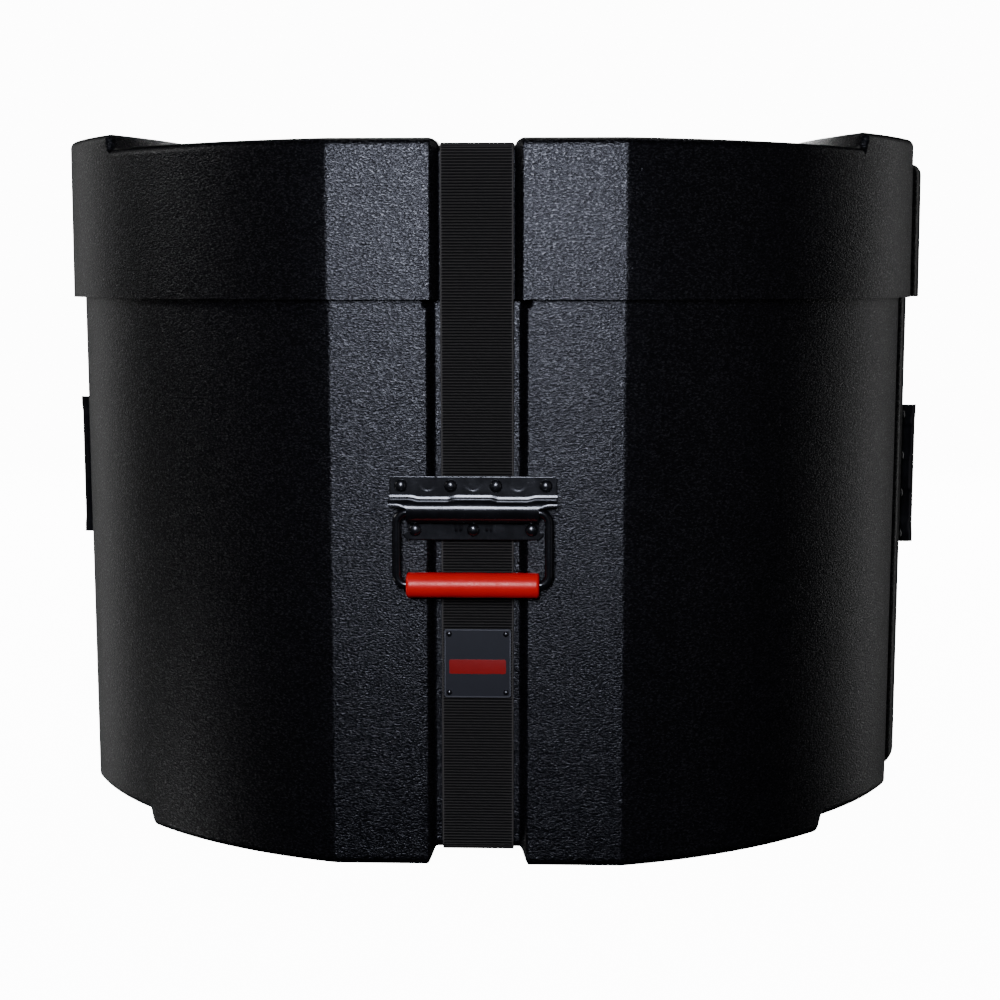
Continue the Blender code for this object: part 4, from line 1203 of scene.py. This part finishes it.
bar_levels = [(0, sunk), (0, sunk + 0.5 * PLATE_SUNK), (0.0003, sunk + 0.6 * PLATE_SUNK)]
bar = rounded_plate("nameplate_bar", BAR_WIDTH / 2, bar_low, bar_high, BAR_CORNER, bar_levels)
PLATE_DARK = plate_enamel("plate_black", (0.008, 0.008, 0.011), (0.014, 0.014, 0.019), 0.42)
PLATE_RED = plate_enamel("plate_red", (0.30, 0.003, 0.002), (0.38, 0.005, 0.003), 0.34)
for piece, finish in ((plate, plate_rim_metal()), (field, PLATE_DARK), (bar, PLATE_RED)):
    piece.data.materials.append(finish)
    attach(piece, "base")
    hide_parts("nameplate")

reach = PLATE_WIDTH / 2 - PLATE_RIVET_INSET
heights = (PLATE_TOP - PLATE_RIVET_INSET, PLATE_LOW + PLATE_RIVET_INSET)
plate_rivets = [(x, z, -plate_front(z, sunk)) for z in heights for x in (-reach, reach)]
heads = domes("nameplate_rivets", plate_rivets, PLATE_RIVET_RADIUS, PLATE_RIVET_HEIGHT + PLATE_SUNK,
              Matrix.Rotation(math.pi / 2, 4, "X"))
heads.data.materials.append(RIVET_PAINT)
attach(heads, "base")
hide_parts(*[f"nameplate_rivet_{number}" for number in range(1, 5)])

# Buckle
# A side-release buckle moulded in black acetal, in the pocket on the lid: a socket with grip lines, a plug
# with a tongue, and two prongs that click out through the socket's sides. Every edge is rounded.

BUCKLE_EDGE = 0.0006


def black_acetal():
    """Moulded acetal with a fine spark-eroded texture, duller where it is handled."""
    finish = Finish("acetal_black", (0.010, 0.010, 0.011), 0.38)
    spark = finish.noise(0.0005, 3.0, 0.6)
    worn = finish.ramp(finish.noise(0.010, 3.0, 0.5), (0.40, 0.0), (0.70, 1.0))
    finish.set(
        Base_Color=finish.mix(worn, (0.008, 0.008, 0.009), (0.014, 0.014, 0.015)),
        Roughness=0.32 + worn * 0.12,
        Normal=finish.bump(spark, 0.00006),
    )
    return finish.material


ACETAL = black_acetal()


def rounded_copy(name, node, body):
    """The node's own shape with its edges rounded."""
    bm = bmesh.new()
    bm.from_mesh(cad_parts[node].data)
    bmesh.ops.remove_doubles(bm, verts=bm.verts, dist=0.00001)
    bmesh.ops.dissolve_limit(bm, angle_limit=math.radians(1), verts=bm.verts, edges=bm.edges)
    obj = finished_mesh(name, bm, 30)
    bevel = obj.modifiers.new("edges", "BEVEL")
    bevel.width = BUCKLE_EDGE
    bevel.segments = 3
    bevel.limit_method = "ANGLE"
    bevel.angle_limit = math.radians(35)
    bevel.harden_normals = True
    apply_modifiers(obj)
    finish_shading(obj, 50)
    obj.data.materials.append(ACETAL)
    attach(obj, body)
    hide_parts(node)


rounded_copy("socket", "buckle_socket", "lid")
rounded_copy("plug", "buckle_plug", "lid")
rounded_copy("lever_left_prong", "buckle_lever_left", "lever_left")
rounded_copy("lever_right_prong", "buckle_lever_right", "lever_right")

GRIP_LINES = 7
GRIP_LINE_PITCH = 0.0042
GRIP_LINE_HALF = 0.0150
GRIP_LINE_TAPER = 0.0022
GRIP_LINE_STEPS = 8
GRIP_LINE_WIDE = 0.0011
GRIP_LINE_HIGH = 0.0007
GRIP_LINE_SUNK = 0.0001
GRIP_LINE_END = 0.0008
GRIP_LINES_BACK = 0.001
bm = bmesh.new()
(_, y0, _), (_, y1, socket_top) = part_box("buckle_socket")
for i in range(GRIP_LINES):
    from_middle = i - (GRIP_LINES - 1) / 2
    y = (y0 + y1) / 2 + GRIP_LINES_BACK + from_middle * GRIP_LINE_PITCH
    half_line = GRIP_LINE_HALF - GRIP_LINE_TAPER * abs(from_middle) ** 1.3
    rings = []
    for step in range(GRIP_LINE_STEPS + 1):
        angle = math.pi * step / GRIP_LINE_STEPS
        z = socket_top - GRIP_LINE_SUNK + GRIP_LINE_HIGH * math.sin(angle)
        deep = GRIP_LINE_WIDE * math.cos(angle)
        reach = half_line + GRIP_LINE_END * math.sin(angle)
        rings.append([(x, y + deep, z) for x in (-reach, reach)])
    rows = loft(bm, rings, closed_columns=False)
    for k in (0, 1):
        bm.faces.new([row[k] for row in rows])
    bm.faces.new((rows[0][0], rows[0][1], rows[-1][1], rows[-1][0]))
grip_lines = finished_mesh("socket_grip_lines", bm)
grip_lines.data.materials.append(ACETAL)
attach(grip_lines, "lid")
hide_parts("buckle_socket")
